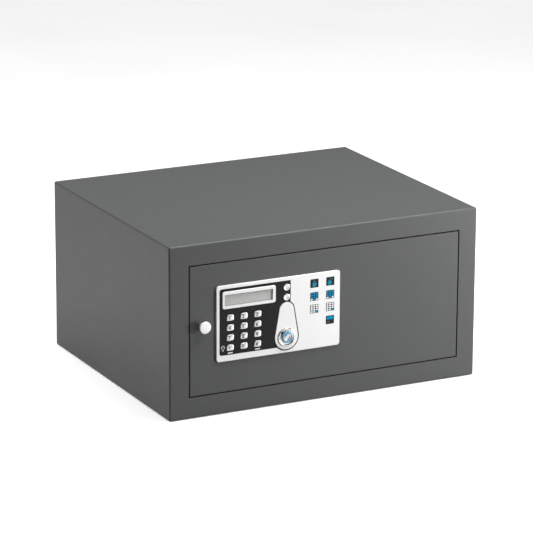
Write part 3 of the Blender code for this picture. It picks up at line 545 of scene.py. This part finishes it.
def back_panel():
    """The flat rear panel with its two anchor holes."""
    low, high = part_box("back_panel")
    panel = block("rear_panel", low, high, PAINT)
    middle = (low.z + high.z) / 2
    anchors = [rod("anchor", (x, high.y, middle), ANCHOR_RADIUS, DRILL) for x in ANCHOR_PLACES]
    carve(panel, anchors)
    soften(panel, *BROKEN_EDGE)
    keep(panel, "root", "body_coat", "back_panel")


def floor_mat():
    """The felt mat with round corners and a soft edge."""
    mat = block("felt_mat", *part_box("floor_mat"), FELT, corner=0.003, axis="z")
    soften(mat, 0.0006)
    keep(mat, "root", "floor_felt", "floor_mat")


def strike_and_hinges():
    """The strike plate, and the hinges' blocks on the body, knuckles on the door and pins."""
    copy_of("strike_plate", "strike", ZINC)
    for end in ENDS:
        copy_of(f"hinge_block_{end}", f"pivot_block_{end}", ZINC, 0.0)
        copy_of(f"hinge_knuckle_{end}", f"knuckle_{end}", ZINC, 0.0)
        low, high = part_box(f"hinge_pin_{end}")
        half, head = (high.z - low.z) / 2, 0.0022
        pin = turned(
            f"pin_{end}",
            [
                (0.0, half),
                (0.0019, half),
                (0.0025, half - 0.0006),
                (0.0025, head - half),
                (0.0040, head - half),
                (0.0044, head - half - 0.0004),
                (0.0044, 0.0004 - half),
                (0.0040, -half),
                (0.0, -half),
            ],
            (low + high) / 2,
            ZINC,
            "up" if end == "lower" else "down",
        )
        keep(pin, "root", "zinc_steel", f"hinge_pin_{end}")


# ---- door


def door_skin():
    """The door plate with a broken edge all round, its posts and the holes under the panel."""
    low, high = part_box("door_plate")
    front, plate_back = low.y, low.y + FRONT_PLATE
    plate = block(
        "door_skin", low, (high.x, plate_back, high.z), PAINT, corner=0.0008, steps=3, rim=0.0005
    )
    overlap = 0.001
    middle, length = (plate_back - overlap + high.y) / 2, high.y - plate_back + overlap
    posts = [rod_at("post", node, middle, POST_RADIUS, length) for node in COVER_SCREWS]
    carve(plate, posts, "UNION")
    cutters = [rod_at("drilling", node, high.y, POST_DRILLING, 0.024) for node in COVER_SCREWS]
    cutters += [
        room("board_room", "main_board", BOARD_GAP, front - OVERCUT, plate_back + overlap),
        rod_at("lock_hole", "lock_body", front, BARREL_HOLE),
        rod_at("knob_hole", "pull_knob", front, KNOB_HOLE),
    ]
    for end in ENDS:
        cutters.append(rod_at("contact_hole", f"battery_contact_{end}", front, CONTACT_HOLE))
    carve(plate, cutters)
    keep(plate, "door", "body_coat", "door_plate")


def drop_outline(grow, steps=28):
    """The skin round the lock surround's two circles, grown by a margin, as points in X and Z."""
    low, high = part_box("lock_surround")
    across = (low.x + high.x) / 2
    head = (across, low.z + DROP_HEAD)
    tip = (across, high.z - DROP_TIP)
    lean = math.degrees(math.asin((DROP_HEAD - DROP_TIP) / (tip[1] - head[1])))
    return arc(tip, DROP_TIP + grow, lean, 180 - lean, steps) + arc(
        head, DROP_HEAD + grow, 180 - lean, 360 + lean, steps
    )


def fascia():
    """The glossy white moulding with a soft rim, recessed for the insert."""
    low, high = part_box("fascia")
    insert_low, insert_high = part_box("keypad_insert")
    moulding = block(
        "fascia_moulding",
        low - Vector((FIT, 0.0, 0.0)),
        high + Vector((0.0, FIT - INK, 0.0)),
        WHITE,
        corner=0.004,
        steps=10,
        rim=0.0007,
        rim_steps=4,
    )
    recess_floor = insert_high.y + FIT
    right, bottom = insert_corner()
    recess = block(
        "recess",
        (insert_low.x - PLAY, low.y - OVERCUT, bottom - PLAY),
        (right + PLAY, recess_floor, insert_high.z + PLAY),
        corner=0.0031,
    )
    drop = drop_outline(DROP_BORDER + PLAY)
    through = (low.y - OVERCUT, high.y + OVERCUT)
    cutters = [
        recess,
        prism("drop_recess", [drop], low.y - OVERCUT - PLAY, recess_floor),
        room("key_room", "key_mat", FIT, *through),
        room("display_room", "lcd_module", 0.0002, *through),
        rod_at("fascia_lock_hole", "lock_body", low.y, BARREL_HOLE),
    ]
    carve(moulding, cutters)
    keep(moulding, "door", "white_panel", "fascia")


def insert_corner():
    """Where the insert's straight part ends: its right edge, and its low edge beside the drop."""
    surround_low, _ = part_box("lock_surround")
    _, contact_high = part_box("battery_contact_upper")
    right = contact_high.x + INSERT_PAST_CONTACT
    return right, surround_low.z - DROP_BORDER + INSERT_ABOVE_DROP


def insert():
    """The thin black insert: a rectangle with round left corners that flows round the drop."""
    low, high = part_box("keypad_insert")
    right, bottom = insert_corner()
    radius = 0.003
    outline = (
        [(right, bottom), (right, high.z)]
        + arc((low.x + radius, high.z - radius), radius, 90, 180, 8)
        + arc((low.x + radius, bottom + radius), radius, 180, 270, 8)
    )
    plate = prism("panel_insert", [outline], low.y, high.y, BLACK)
    carve(plate, [prism("border", [drop_outline(DROP_BORDER)], low.y, high.y)], "UNION")
    openings = [rounded_outline(*grown(*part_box("lcd_bezel"), FIT / 2), 0.003)]
    openings += [rounded_outline(*grown(*cap_box(node), KEY_GAP), 0.002) for node in KEYS]
    front, back = low.y - OVERCUT, high.y + OVERCUT
    holes = [
        prism("drop_hole", [drop_outline(DROP_GAP)], front, back),
        prism("openings", openings, front - PLAY, back + PLAY),
    ]
    for end in ENDS:
        holes.append(rod_at("contact_ring", f"battery_contact_{end}", low.y, CONTACT_RING))
    carve(plate, holes)
    keep(plate, "door", "black_insert", "keypad_insert")


def insert_marks():
    """A small lamp symbol beside the lower left key, and a bar under each lower corner key."""
    low, _ = cap_box("key_light")
    insert_low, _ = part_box("keypad_insert")
    front, back = insert_low.y - INK, insert_low.y - LIFT
    middle, up = (insert_low.x + low.x) / 2 - 0.0004, low.z + 0.0048
    bulb = band((middle, up), 0.0025, 0.0015, -62, 242, 28)
    foot = bar(middle, 0.0011, up - 0.0036, up - 0.0027, 0.0003)
    toe = bar(middle, 0.0008, up - 0.0050, up - 0.0041, 0.0003)
    lamp_mark = prism("lamp_mark", [bulb, foot, toe], front, back, PALE_INK)
    keep(lamp_mark, "door", "white_panel")
    bars = []
    for node in ("key_light", "key_lock"):
        cap_low, cap_high = cap_box(node)
        middle = (cap_low.x + cap_high.x) / 2
        bars.append(bar(middle, 0.0034, cap_low.z - 0.0037, cap_low.z - 0.0023, 0.0004))
    keep(prism("key_bars", bars, front, back, WHITE_INK), "door", "white_panel")


def bezel():
    """The raised display bezel, its window, and the display behind it, ringed by a thin grey frame
    that is painted shade at the edge of the opening.
    """
    low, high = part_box("lcd_bezel")
    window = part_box("lcd_window")
    ring = block("display_bezel", low, high, WHITE, corner=0.0028, rim=0.0006, rim_steps=4)
    opening = rounded_outline(*grown(*window, FIT), 0.0007)
    carve(ring, [prism("bezel_opening", [opening], low.y - OVERCUT, high.y + OVERCUT)])
    keep(ring, "door", "white_panel", "lcd_bezel")
    keep(block("display_pane", *window, WINDOW), "door", "display_window", "lcd_window")
    module = block("display_module", *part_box("lcd_module"), DISPLAY)
    keep(module, "door", "display_grey", "lcd_module")
    # Painted shade: a thin grey ring just inside the bezel's opening stands for the shade and gap
    # round the display
    back = window[1].y
    outside = rounded_outline(*grown(*window, 0.0), 0.0006)
    sight = rounded_outline(*grown(*window, -0.0005), 0.0004)
    shade_ring = prism("display_shade_ring", [outside], back, back + INK, SHADE_GREY_INK)
    carve(shade_ring, [prism("sight", [sight], back - 0.001, back + 0.001)])
    keep(shade_ring, "door", "display_grey")


def cap_box(node):
    """The box of a key's cap, without the flange behind the insert."""
    low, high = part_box(node)
    inset = Vector((CAP_INSET, 0.0, CAP_INSET))
    return low + inset, high - inset


def add_loft(shape, rings):
    """Joins outlines of equal length, each ((x, z) points, depth), and closes both ends."""
    loops = [[shape.verts.new((x, depth, z)) for x, z in outline] for outline, depth in rings]
    for first, second in zip(loops, loops[1:]):
        for corner in range(len(first)):
            after = (corner + 1) % len(first)
            shape.faces.new((first[corner], first[after], second[after], second[corner]))
    shape.faces.new(loops[0])
    shape.faces.new(reversed(loops[-1]))


def pillow(shape, low, high, corner, rim, dome, steps=5):
    """Adds a cap with round corners, a round front rim and a gently domed front."""
    profile = [(0.0, high.y)]
    for step in range(steps + 1):
        angle = math.pi / 2 * step / steps
        profile.append((rim * (1 - math.cos(angle)), low.y + dome + rim * (1 - math.sin(angle))))
    domed_part, least_corner = 0.8, 0.0003
    reach = (min(high.x - low.x, high.z - low.z) / 2 - rim) * domed_part
    for step in range(1, steps + 1):
        part = step / steps
        profile.append((rim + reach * part, low.y + dome * (1 - part) ** 2))
    rings = []
    for inset, depth in profile:
        radius = max(corner - inset, least_corner)
        rings.append((rounded_outline(*grown(low, high, -inset), radius, steps), depth))
    add_loft(shape, rings)


def front_at(obj, x, z):
    """The depth of a piece's front at a place in X and Z."""
    start = obj.matrix_world.inverted() @ Vector((x, -1.0, z))
    hit, place, _, _ = obj.ray_cast(start, Vector((0.0, 1.0, 0.0)))
    if not hit:
        raise ValueError(f"{obj.name} has no front at x {x}, z {z}")
    return (obj.matrix_world @ place).y


def printed_text(name, text, centre, height, on, body):
    """A character printed in black on a curved front: a thin solid that follows the surface."""
    weight, longest_edge, thickness = height * 0.022, 0.0005, INK * 1.6
    curve = bpy.data.curves.new(name, "FONT")
    curve.body = text
    curve.size = height
    curve.align_x = "CENTER"
    curve.align_y = "CENTER"
    curve.offset = weight
    source = add_object(name + "_source", curve)
    graph = bpy.context.evaluated_depsgraph_get()
    graph.update()
    shape = bmesh.new()
    shape.from_mesh(bpy.data.meshes.new_from_object(source.evaluated_get(graph)))
    bpy.data.objects.remove(source, do_unlink=True)
    bmesh.ops.remove_doubles(shape, verts=shape.verts, dist=MERGED)
    spans = [[vert.co[axis] for vert in shape.verts] for axis in (0, 1)]
    middle, up = [(min(span) + max(span)) / 2 for span in spans]
    for _ in range(3):
        bmesh.ops.triangulate(shape, faces=shape.faces)
        long_edges = [edge for edge in shape.edges if edge.calc_length() > longest_edge]
        bmesh.ops.subdivide_edges(shape, edges=long_edges, cuts=2)
    bmesh.ops.triangulate(shape, faces=shape.faces)
    for vert in shape.verts:
        x, z = centre[0] + vert.co.x - middle, centre[1] + vert.co.y - up
        vert.co = (x, front_at(on, x, z) - INK, z)
    made = bmesh.ops.extrude_face_region(shape, geom=list(shape.faces))
    rear = [item for item in made["geom"] if isinstance(item, bmesh.types.BMVert)]
    bmesh.ops.translate(shape, verts=rear, vec=(0.0, thickness, 0.0))
    bmesh.ops.recalc_face_normals(shape, faces=shape.faces)
    keep(mesh_object(name, shape, BLACK_INK), body, "black_insert")


def keys():
    """Twelve silver keys, each with its character printed left of its middle."""
    for node in KEYS:
        name = node.removeprefix("key_")
        low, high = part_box(node)
        shape = bmesh.new()
        pillow(shape, *cap_box(node), corner=0.0019, rim=0.0009, dome=0.00035)
        flange, thickness = rounded_outline(*grown(low, high, 0.0), 0.001, 3), 0.0008
        add_prism(shape, flange, high.y - thickness, high.y)
        bmesh.ops.recalc_face_normals(shape, faces=shape.faces)
        cap = mesh_object(f"cap_{name}", shape, SILVER_KEY)
        keep(cap, node, "key_silver", node, angle=40.0)
        bpy.context.view_layer.update()
        label = KEY_LABELS.get(node, name)
        centre = ((low.x + high.x) / 2 - 0.0016, (low.z + high.z) / 2)
        height = 0.0062 if label.isdigit() else 0.0056
        printed_text(f"label_{name}", label, centre, height, cap, node)


def contacts():
    """The two round terminals for an outside battery: a nickel ring round a dished centre."""
    for end in ENDS:
        node = f"battery_contact_{end}"
        low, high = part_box(node)
        half, rim = (high.y - low.y) / 2, radius_of(node)
        contact = turned(
            f"terminal_{end}",
            [
                (0.0, half - 0.00035),
                (0.0018, half - 0.0003),
                (0.0026, half - 0.00015),
                (0.0031, half),
                (0.0038, half),
                (0.0043, half - 0.0002),
                (rim, half - 0.0006),
                (rim, half - 0.0013),
                (0.0029, half - 0.0013),
                (0.0029, -half),
                (0.0, -half),
            ],
            (low + high) / 2,
            NICKEL,
        )
        keep(contact, "door", "contact_nickel", node)


def lock_surround():
    """The drop-shaped white field round the lock."""
    low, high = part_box("lock_surround")
    surround = prism("surround", [drop_outline(0.0)], low.y, high.y, WHITE, rim=0.0005)
    carve(surround, [rod_at("surround_hole", "lock_body", low.y, BARREL_HOLE)])
    keep(surround, "door", "white_panel", "lock_surround")


def lock_barrel():
    """The chrome lock body: a beaded flange with two notches, and a black disc sunk in each notch
    as painted shade for the deep notch.
    """
    low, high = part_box("lock_body")
    surround_low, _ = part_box("lock_surround")
    _, collar_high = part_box("lock_collar")
    face = on_axis("lock_body", low.y)
    outer, collar, plug = map(radius_of, ("lock_body", "lock_collar", "lock_plug"))
    seat, bore = collar + PLAY, plug + 0.00006
    length, flange = high.y - low.y, surround_low.y - FIT - low.y
    collar_seat = collar_high.y - low.y + FIT
    bead_half = 0.00115
    bead = [
        (outer - bead_half * (1 + math.cos(angle)), bead_half * (math.sin(angle) - 1))
        for angle in [math.pi * step / 12 for step in range(13)]
    ]
    barrel = turned(
        "lock_barrel",
        [
            (seat, -0.0004),
            (collar + 0.0003, -0.0002),
            (0.0083, -0.0002),
            (0.0086, -0.0004),
            (0.0088, -bead_half),
            *bead,
            (outer, -flange),
            (0.0095, -flange),
            (0.0095, -length),
            (bore, -length),
            (bore, -collar_seat),
            (seat, -collar_seat),
        ],
        face,
        CHROME,
        steps=96,
    )
    offset = NOTCH_CIRCLE * math.sqrt(0.5)
    places = [face + Vector((side * offset, 0.0, -side * offset)) for side in (-1, 1)]
    carve(barrel, [rod("notch", place, NOTCH_RADIUS, 0.0056, steps=24) for place in places])
    keep(barrel, "door", "lock_chrome", "lock_body")
    # Painted shade: a black disc at the bottom of each notch darkens it the way a deep, shaded
    # notch looks
    for name, place in zip(("locked", "open"), places):
        sunk = place + Vector((0.0, 0.0021, 0.0))
        radius = NOTCH_RADIUS - 0.00002
        shade_disc = rod(f"notch_painted_shade_{name}", sunk, radius, 0.0012, material=BLACK_INK)
        keep(shade_disc, "door", "black_insert")


def lock_collar():
    """The blue collar, which stands out of the barrel with round edges."""
    low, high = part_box("lock_collar")
    radius, bore = radius_of("lock_collar"), radius_of("lock_plug") + FIT
    front = high.y - low.y
    collar = turned(
        "blue_ring",
        [
            (bore + 0.0001, front - 0.0004),
            (bore + 0.0003, front - 0.0001),
            (bore + 0.0006, front),
            (radius - 0.0010, front),
            (radius - 0.0003, front - 0.0003),
            (radius, front - 0.0010),
            (radius, 0.0),
            (bore, 0.0),
            (bore, front - 0.0007),
        ],
        on_axis("lock_body", high.y),
        BLUE,
        steps=96,
    )
    keep(collar, "door", "lock_blue", "lock_collar")


def lock_plug():
    """The plug with a round groove and a small keyway at its rim."""
    low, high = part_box("lock_plug")
    radius, length = radius_of("lock_plug"), high.y - low.y
    face = on_axis("lock_body", low.y)
    plug = turned(
        "plug",
        [
            (0.0, -0.0004),
            (0.0023, -0.0004),
            (0.0024, -0.0012),
            (0.0032, -0.0012),
            (0.0033, -0.0001),
            (0.0035, 0.0),
            (radius - 0.0005, 0.0),
            (radius - 0.0001, -0.0002),
            (radius, -0.0006),
            (radius, 0.0055 - length),
            (0.0029, 0.0055 - length),
            (0.0029, -length),
            (0.0, -length),
        ],
        face,
        NICKEL,
    )
    offset = (radius - 0.0004) * math.sqrt(0.5)
    place = face + Vector((-offset, 0.0, offset))
    carve(plug, [rod("keyway", place, 0.0008, 0.0032, steps=16)])
    keep(plug, "lock_core", "zinc_steel", "lock_plug")


def lock():
    """The override lock in its drop-shaped surround, with its cam and nut behind the door."""
    lock_surround()
    lock_barrel()
    lock_collar()
    lock_plug()
    copy_of("lock_cam", "cam", ZINC)
    copy_of("lock_nut", "barrel_nut", ZINC)


def knob():
    """The white pull knob: a waisted stem and a shallow domed head."""
    low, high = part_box("pull_knob")
    radius, height = radius_of("pull_knob"), high.y - low.y
    edge, crown, steps = 0.0010, 0.0002, 5
    flat = radius - edge
    parts = [step / steps for step in range(steps + 1)]
    dome = [(flat * part, height - crown * part**2) for part in parts]
    rim = [
        (flat + edge * math.sin(angle), height - crown - edge * (1 - math.cos(angle)))
        for angle in [math.pi / 2 * part for part in parts[1:]]
    ]
    waist = [
        (radius, height - 0.0018),
        (radius - 0.0005, height - 0.0023),
        (0.0052, height - 0.0031),
        (0.0044, height - 0.0042),
        (0.0042, 0.0),
        (0.0022, 0.0),
        (0.0022, 0.0047),
        (0.0, 0.0047),
    ]
    place = on_axis("pull_knob", high.y)
    # The knob is in the lighter white, which is painted light
    piece = turned("knob", dome + rim + waist, place, KNOB_WHITE_LIT, steps=72)
    keep(piece, "door", "white_panel", "pull_knob", angle=45.0)


def symbol_ground(left, top):
    """The dark field of a symbol."""
    return rounded_outline(left, left + SYMBOL_WIDTH, top - SYMBOL_HEIGHT, top, 0.0005)


def padlock(left, top, opened):
    """A padlock's disc, keyhole and shackle. The shackle of an opened one hangs beside it."""
    middle = left + SYMBOL_WIDTH / 2 - 0.0009 * opened
    disc = arc((middle, top - 0.0072), 0.0028, 0, 345, 24)
    keyhole = arc((middle, top - 0.0068), 0.0007, -50, 230, 10)
    keyhole += [(middle - 0.0005, top - 0.0088), (middle + 0.0005, top - 0.0088)]
    hinge = (middle + 0.0026 * opened, top - 0.0042)
    shackle = band(hinge, 0.0023, 0.0014, -20 + 20 * opened, 200, 14)
    return disc, keyhole, shackle


def key_grid(left, top):
    """A keypad symbol's four lines of three keys, each as its line, its place and its outline."""
    width, height = 0.0027, 0.0018
    for line in range(4):
        for place in range(3):
            key_left = left + 0.0008 + place * 0.0036
            key_top = top - 0.0007 - line * 0.0026
            edges = (key_left, key_left + width, key_top - height, key_top)
            yield line, place, rounded_outline(*edges, 0.0005, 3)


def pictograms():
    """Seven plain instruction symbols printed on the right of the fascia."""
    low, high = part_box("fascia")
    left = high.x - 0.0417
    columns = (left, left + 0.0222)
    locks_top, blue_keys_top, white_keys_top, display_top = [
        high.z - gap for gap in (0.0073, 0.0243, 0.0403, 0.0573)
    ]
    dark, blue, white, dim = [], [], [], []

    for opened, left in enumerate(columns):
        dark.append(symbol_ground(left, locks_top))
        disc, keyhole, shackle = padlock(left, locks_top, opened)
        blue.append(disc)
        dim += [keyhole, shackle]
    # The last line of each keypad has keys in the other colour
    for top, plain, other, other_places in (
        (blue_keys_top, blue, white, (0, 2)),
        (white_keys_top, white, blue, (2,)),
    ):
        for left in columns:
            dark.append(symbol_ground(left, top))
            for line, place, key in key_grid(left, top):
                (other if line == 3 and place in other_places else plain).append(key)
    left, right, top = columns[1], columns[1] + SYMBOL_WIDTH, display_top
    dark.append(symbol_ground(left, top))
    blue.append(rounded_outline(left + 0.0013, right - 0.0013, top - 0.0050, top - 0.0012, 0.0005))
    for line in range(2):
        edges = (left + 0.0018, left + 0.0050 - 0.0008 * line)
        bottom = top - 0.0078 - 0.0016 * line
        dim.append(rounded_outline(*edges, bottom, bottom + 0.0008, 0.0003, 2))

    front = low.y
    for name, outlines, level, material in (
        ("pictogram_grounds", dark, 1, BLACK_INK),
        ("pictogram_blue", blue, 2, BLUE_INK),
        ("pictogram_dim", dim, 3, DIM_INK),
        ("pictogram_white", white, 3, WHITE_INK),
    ):
        back = front - LIFT if level == 1 else front - INK * 0.5
        piece = prism(name, outlines, front - INK * level, back, material)
        keep(piece, "door", "black_insert" if level == 1 else "white_panel")


# ---- back of the door and the works


def cross_recess(screw, centre, depth):
    """Cuts the cross of a screwdriver into a screw's head."""
    arms = []
    for turn in (0, 90):
        arm = block("arm", (-0.0019, -depth, -0.00045), (0.0019, depth, 0.00045))
        arm.matrix_world = Matrix.Translation(centre) @ Matrix.Rotation(math.radians(turn), 4, "Y")
        arms.append(arm)
    bpy.context.view_layer.update()
    carve(screw, arms)


def pan_screw(name, node, head_radius, head_height, shank):
    """A pan-head screw in the door, whose head is at the back of its node."""
    low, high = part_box(node)
    length, face = high.y - low.y, on_axis(node, high.y)
    screw = turned(
        name,
        [
            (0.0, 0.0),
            (head_radius * 0.55, -head_height * 0.06),
            (head_radius * 0.85, -head_height * 0.3),
            (head_radius, -head_height * 0.65),
            (head_radius, -head_height),
            (shank, -head_height),
            (shank, 0.0004 - length),
            (shank - 0.0004, -length),
            (0.0, -length),
        ],
        face,
        ZINC,
        "back",
        steps=40,
    )
    cross_recess(screw, face, 0.0012)
    keep(screw, "door", "zinc_steel", node)


def inner_cover():
    """The pressed cover: round corners, rails for the lid, and its openings."""
    low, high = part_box("inner_cover")
    rear = high.y - 0.003
    size = Vector((high.x - low.x, rear - low.y, high.z - low.z))
    centre = Vector(((low.x + high.x) / 2, (low.y + rear) / 2, (low.z + high.z) / 2))
    shape = cube(size)
    open_side = -size.y / 2 + NEAR
    folds = [edge for edge in shape.edges if max(vert.co.y for vert in edge.verts) > open_side]
    bevel_edges(shape, folds, 0.004, 6)
    front = [face for face in shape.faces if face.normal.y < -0.99]
    bmesh.ops.delete(shape, geom=front, context="FACES")
    cover = mesh_object("pressed_cover", shape, COVER_PAINT, centre)
    wall = cover.modifiers.new("Wall", "SOLIDIFY")
    wall.thickness = SHEET
    wall.offset = -1.0
    wall.use_even_offset = True
    apply_modifiers(cover)
    cutters = []
    for end in ENDS:
        bolt = centre_of(f"bolt_{end}")
        cutters.append(rod("bolt_hole", (low.x, bolt.y, bolt.z), BOLT_HOLE, 0.012, "left"))
    cutters += [rod_at("screw_hole", node, rear, SCREW_HOLE, 0.012) for node in COVER_SCREWS]
    cutters.append(
        room("compartment", "battery_holder", -0.003, rear - 0.004, rear + 0.004, corner=0.002)
    )
    carve(cover, cutters)
    holder_low, holder_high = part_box("battery_holder")
    lid_low, lid_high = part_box("battery_lid")
    rails = [
        block(
            "rail",
            (x, rear - 0.001, holder_low.z - 0.018),
            (x + 0.0025, high.y, holder_high.z + 0.004),
            corner=0.0008,
            steps=3,
        )
        for x in (lid_low.x - 0.003, lid_high.x + 0.0005)
    ]
    carve(cover, rails, "UNION")
    soften(cover, *BROKEN_EDGE)
    keep(cover, "door", "cover_coat", "inner_cover")


def battery_lid():
    """The sliding lid, with a pad of grip ribs near its top and an arrow that points down."""
    low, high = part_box("battery_lid")
    skin_back = high.y - 0.0005
    lid = block("lid", low, (high.x, skin_back, high.z), DARK_PLASTIC, corner=0.0015, steps=5)
    soften(lid, *BROKEN_EDGE)
    middle = (low.x + high.x) / 2
    ribs = [
        bar(middle, 0.012, top - 0.0012, top, 0.0005, 3)
        for top in [high.z - 0.010 - step * 0.0026 for step in range(6)]
    ]
    arrow = [
        (middle - 0.0045, low.z + 0.020),
        (middle, low.z + 0.012),
        (middle + 0.0045, low.z + 0.020),
    ]
    relief = prism("relief", [*ribs, arrow], skin_back - 0.0003, high.y)
    carve(lid, [relief], "UNION")
    keep(lid, "battery_lid", "black_plastic", "battery_lid")


def bolts():
    """Two chamfered bolts, and what drives them: the rack carriage, its guide, pinion and motor."""
    for end in ENDS:
        low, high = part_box(f"bolt_{end}")
        centre = (low + high) / 2
        length, radius = high.x - low.x, (high.z - low.z) / 2
        bolt = turned(
            f"lock_bolt_{end}",
            [
                (0.0, length),
                (radius - 0.0019, length),
                (radius - 0.0015, length - 0.0001),
                (radius - 0.0001, length - 0.0013),
                (radius, length - 0.0017),
                (radius, 0.0),
                (0.0, 0.0),
            ],
            Vector((high.x, centre.y, centre.z)),
            BRUSHED,
            "left",
        )
        keep(bolt, "bolts", "zinc_steel", f"bolt_{end}")
    copy_of("bolt_carriage", "carriage", ZINC, 0.00015)
    copy_of("drive_pinion", "pinion", BRASS, 0.0)
    copy_of("carriage_guide", "guide", DARK_PLASTIC)
    copy_of("gear_motor", "motor", ZINC, 0.0002)


def power_and_board():
    """The battery holder with its cells, the circuit board and the key mat."""
    copy_of("battery_holder", "cell_tray", DARK_PLASTIC, 0.0002)
    for number in range(1, 5):
        low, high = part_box(f"battery_{number}")
        centre = (low + high) / 2
        half, radius = (high.z - low.z) / 2, (high.x - low.x) / 2
        cell = turned(
            f"cell_{number}",
            [
                (0.0, half),
                (0.0024, half),
                (0.0027, half - 0.0003),
                (0.0027, half - 0.0012),
                (radius - 0.0007, half - 0.0013),
                (radius - 0.0002, half - 0.0015),
                (radius, half - 0.0020),
                (radius, 0.0006 - half),
                (radius - 0.0006, -half),
                (0.0, -half),
            ],
            centre,
            CELL_WRAP,
            "up" if number % 2 else "down",
            steps=48,
        )
        keep(cell, "door", "cell_wrap", f"battery_{number}")
    copy_of("main_board", "board", BOARD, 0.0)
    copy_of("key_mat", "rubber_mat", RUBBER, 0.0002)


def screws():
    """The cover's four screws and the knob's: head radius, head height and shank radius."""
    for number, node in enumerate(COVER_SCREWS, 1):
        pan_screw(f"cover_fixing_{number}", node, 0.0035, 0.0022, 0.0015)
    pan_screw("knob_fixing", "knob_screw", 0.0040, 0.0025, 0.0018)


# ---- stage


def camera():
    """The view of the front from the left and above, rolled a little."""
    data = bpy.data.cameras.new("camera")
    data.lens = LENS
    data.clip_start, data.clip_end = 0.1, 50.0
    obj = add_object("camera", data)
    level = math.cos(LOOK_DOWN)
    forward = Vector(
        (math.sin(LOOK_AZIMUTH) * level, math.cos(LOOK_AZIMUTH) * level, -math.sin(LOOK_DOWN))
    )
    obj.rotation_mode = "QUATERNION"
    obj.rotation_quaternion = forward.to_track_quat("-Z", "Y") @ Quaternion((0, 0, 1), ROLL)
    obj.location = EYE
    bpy.context.scene.camera = obj


def lamp(kind, name, place, aim, energy, **values):
    """A light at a place, turned to what it is aimed at."""
    data = bpy.data.lights.new(name, kind)
    data.energy = energy
    for field, value in values.items():
        setattr(data, field, value)
    obj = add_object(name, data)
    obj.location = place
    obj.rotation_euler = (Vector(aim) - Vector(place)).to_track_quat("-Z", "Y").to_euler()


def studio():
    """A pale floor, an even white surround and large soft lights."""
    world = bpy.data.worlds.new("surround")
    world.use_nodes = True
    background = world.node_tree.nodes["Background"]
    background.inputs["Color"].default_value = (1.0, 1.0, 1.0, 1.0)
    background.inputs["Strength"].default_value = 0.05
    bpy.context.scene.world = world
    bpy.context.scene.view_settings.view_transform = "Standard"

    shape = bmesh.new()
    bmesh.ops.create_grid(shape, x_segments=2, y_segments=2, size=6.0)
    pale = Shader("pale_floor", Specular_IOR_Level=0.2)
    pale.colour(pale.noise(3.0), (0.83, 0.83, 0.83), (0.87, 0.87, 0.87))
    pale.roughness(pale.noise(40.0), 0.7, 0.85)
    pale.principled.inputs["Emission Color"].default_value = (1.0, 1.0, 1.0, 1.0)
    pale.principled.inputs["Emission Strength"].default_value = 0.17
    floor = mesh_object("floor", shape, pale.material, (0.0, 0.0, -0.0004))
    floor.visible_diffuse = False

    lamp("SUN", "sky", (0.0, 0.0, 3.0), (0.0, 0.0, 0.0), 2.3, angle=math.radians(70))
    lamp("AREA", "over", (0.42, -0.48, 1.15), (0.0, -0.1, 0.2), 14.5, size=0.55)
    lamp("AREA", "rear", (0.35, 0.10, 1.25), (0.0, 0.0, 0.2), 4.0, size=0.55)
    lamp("AREA", "right", (1.10, -0.95, 0.16), (0.0, -0.1, 0.11), 22.0, size=0.30)
    lamp("AREA", "left", (-1.10, 0.30, 1.10), (-0.215, 0.0, 0.20), 13.0, size=0.5)


camera()
studio()
case()
back_panel()
floor_mat()
strike_and_hinges()
door_skin()
fascia()
insert()
insert_marks()
bezel()
keys()
contacts()
lock()
knob()
pictograms()
inner_cover()
battery_lid()
bolts()
power_and_board()
screws()
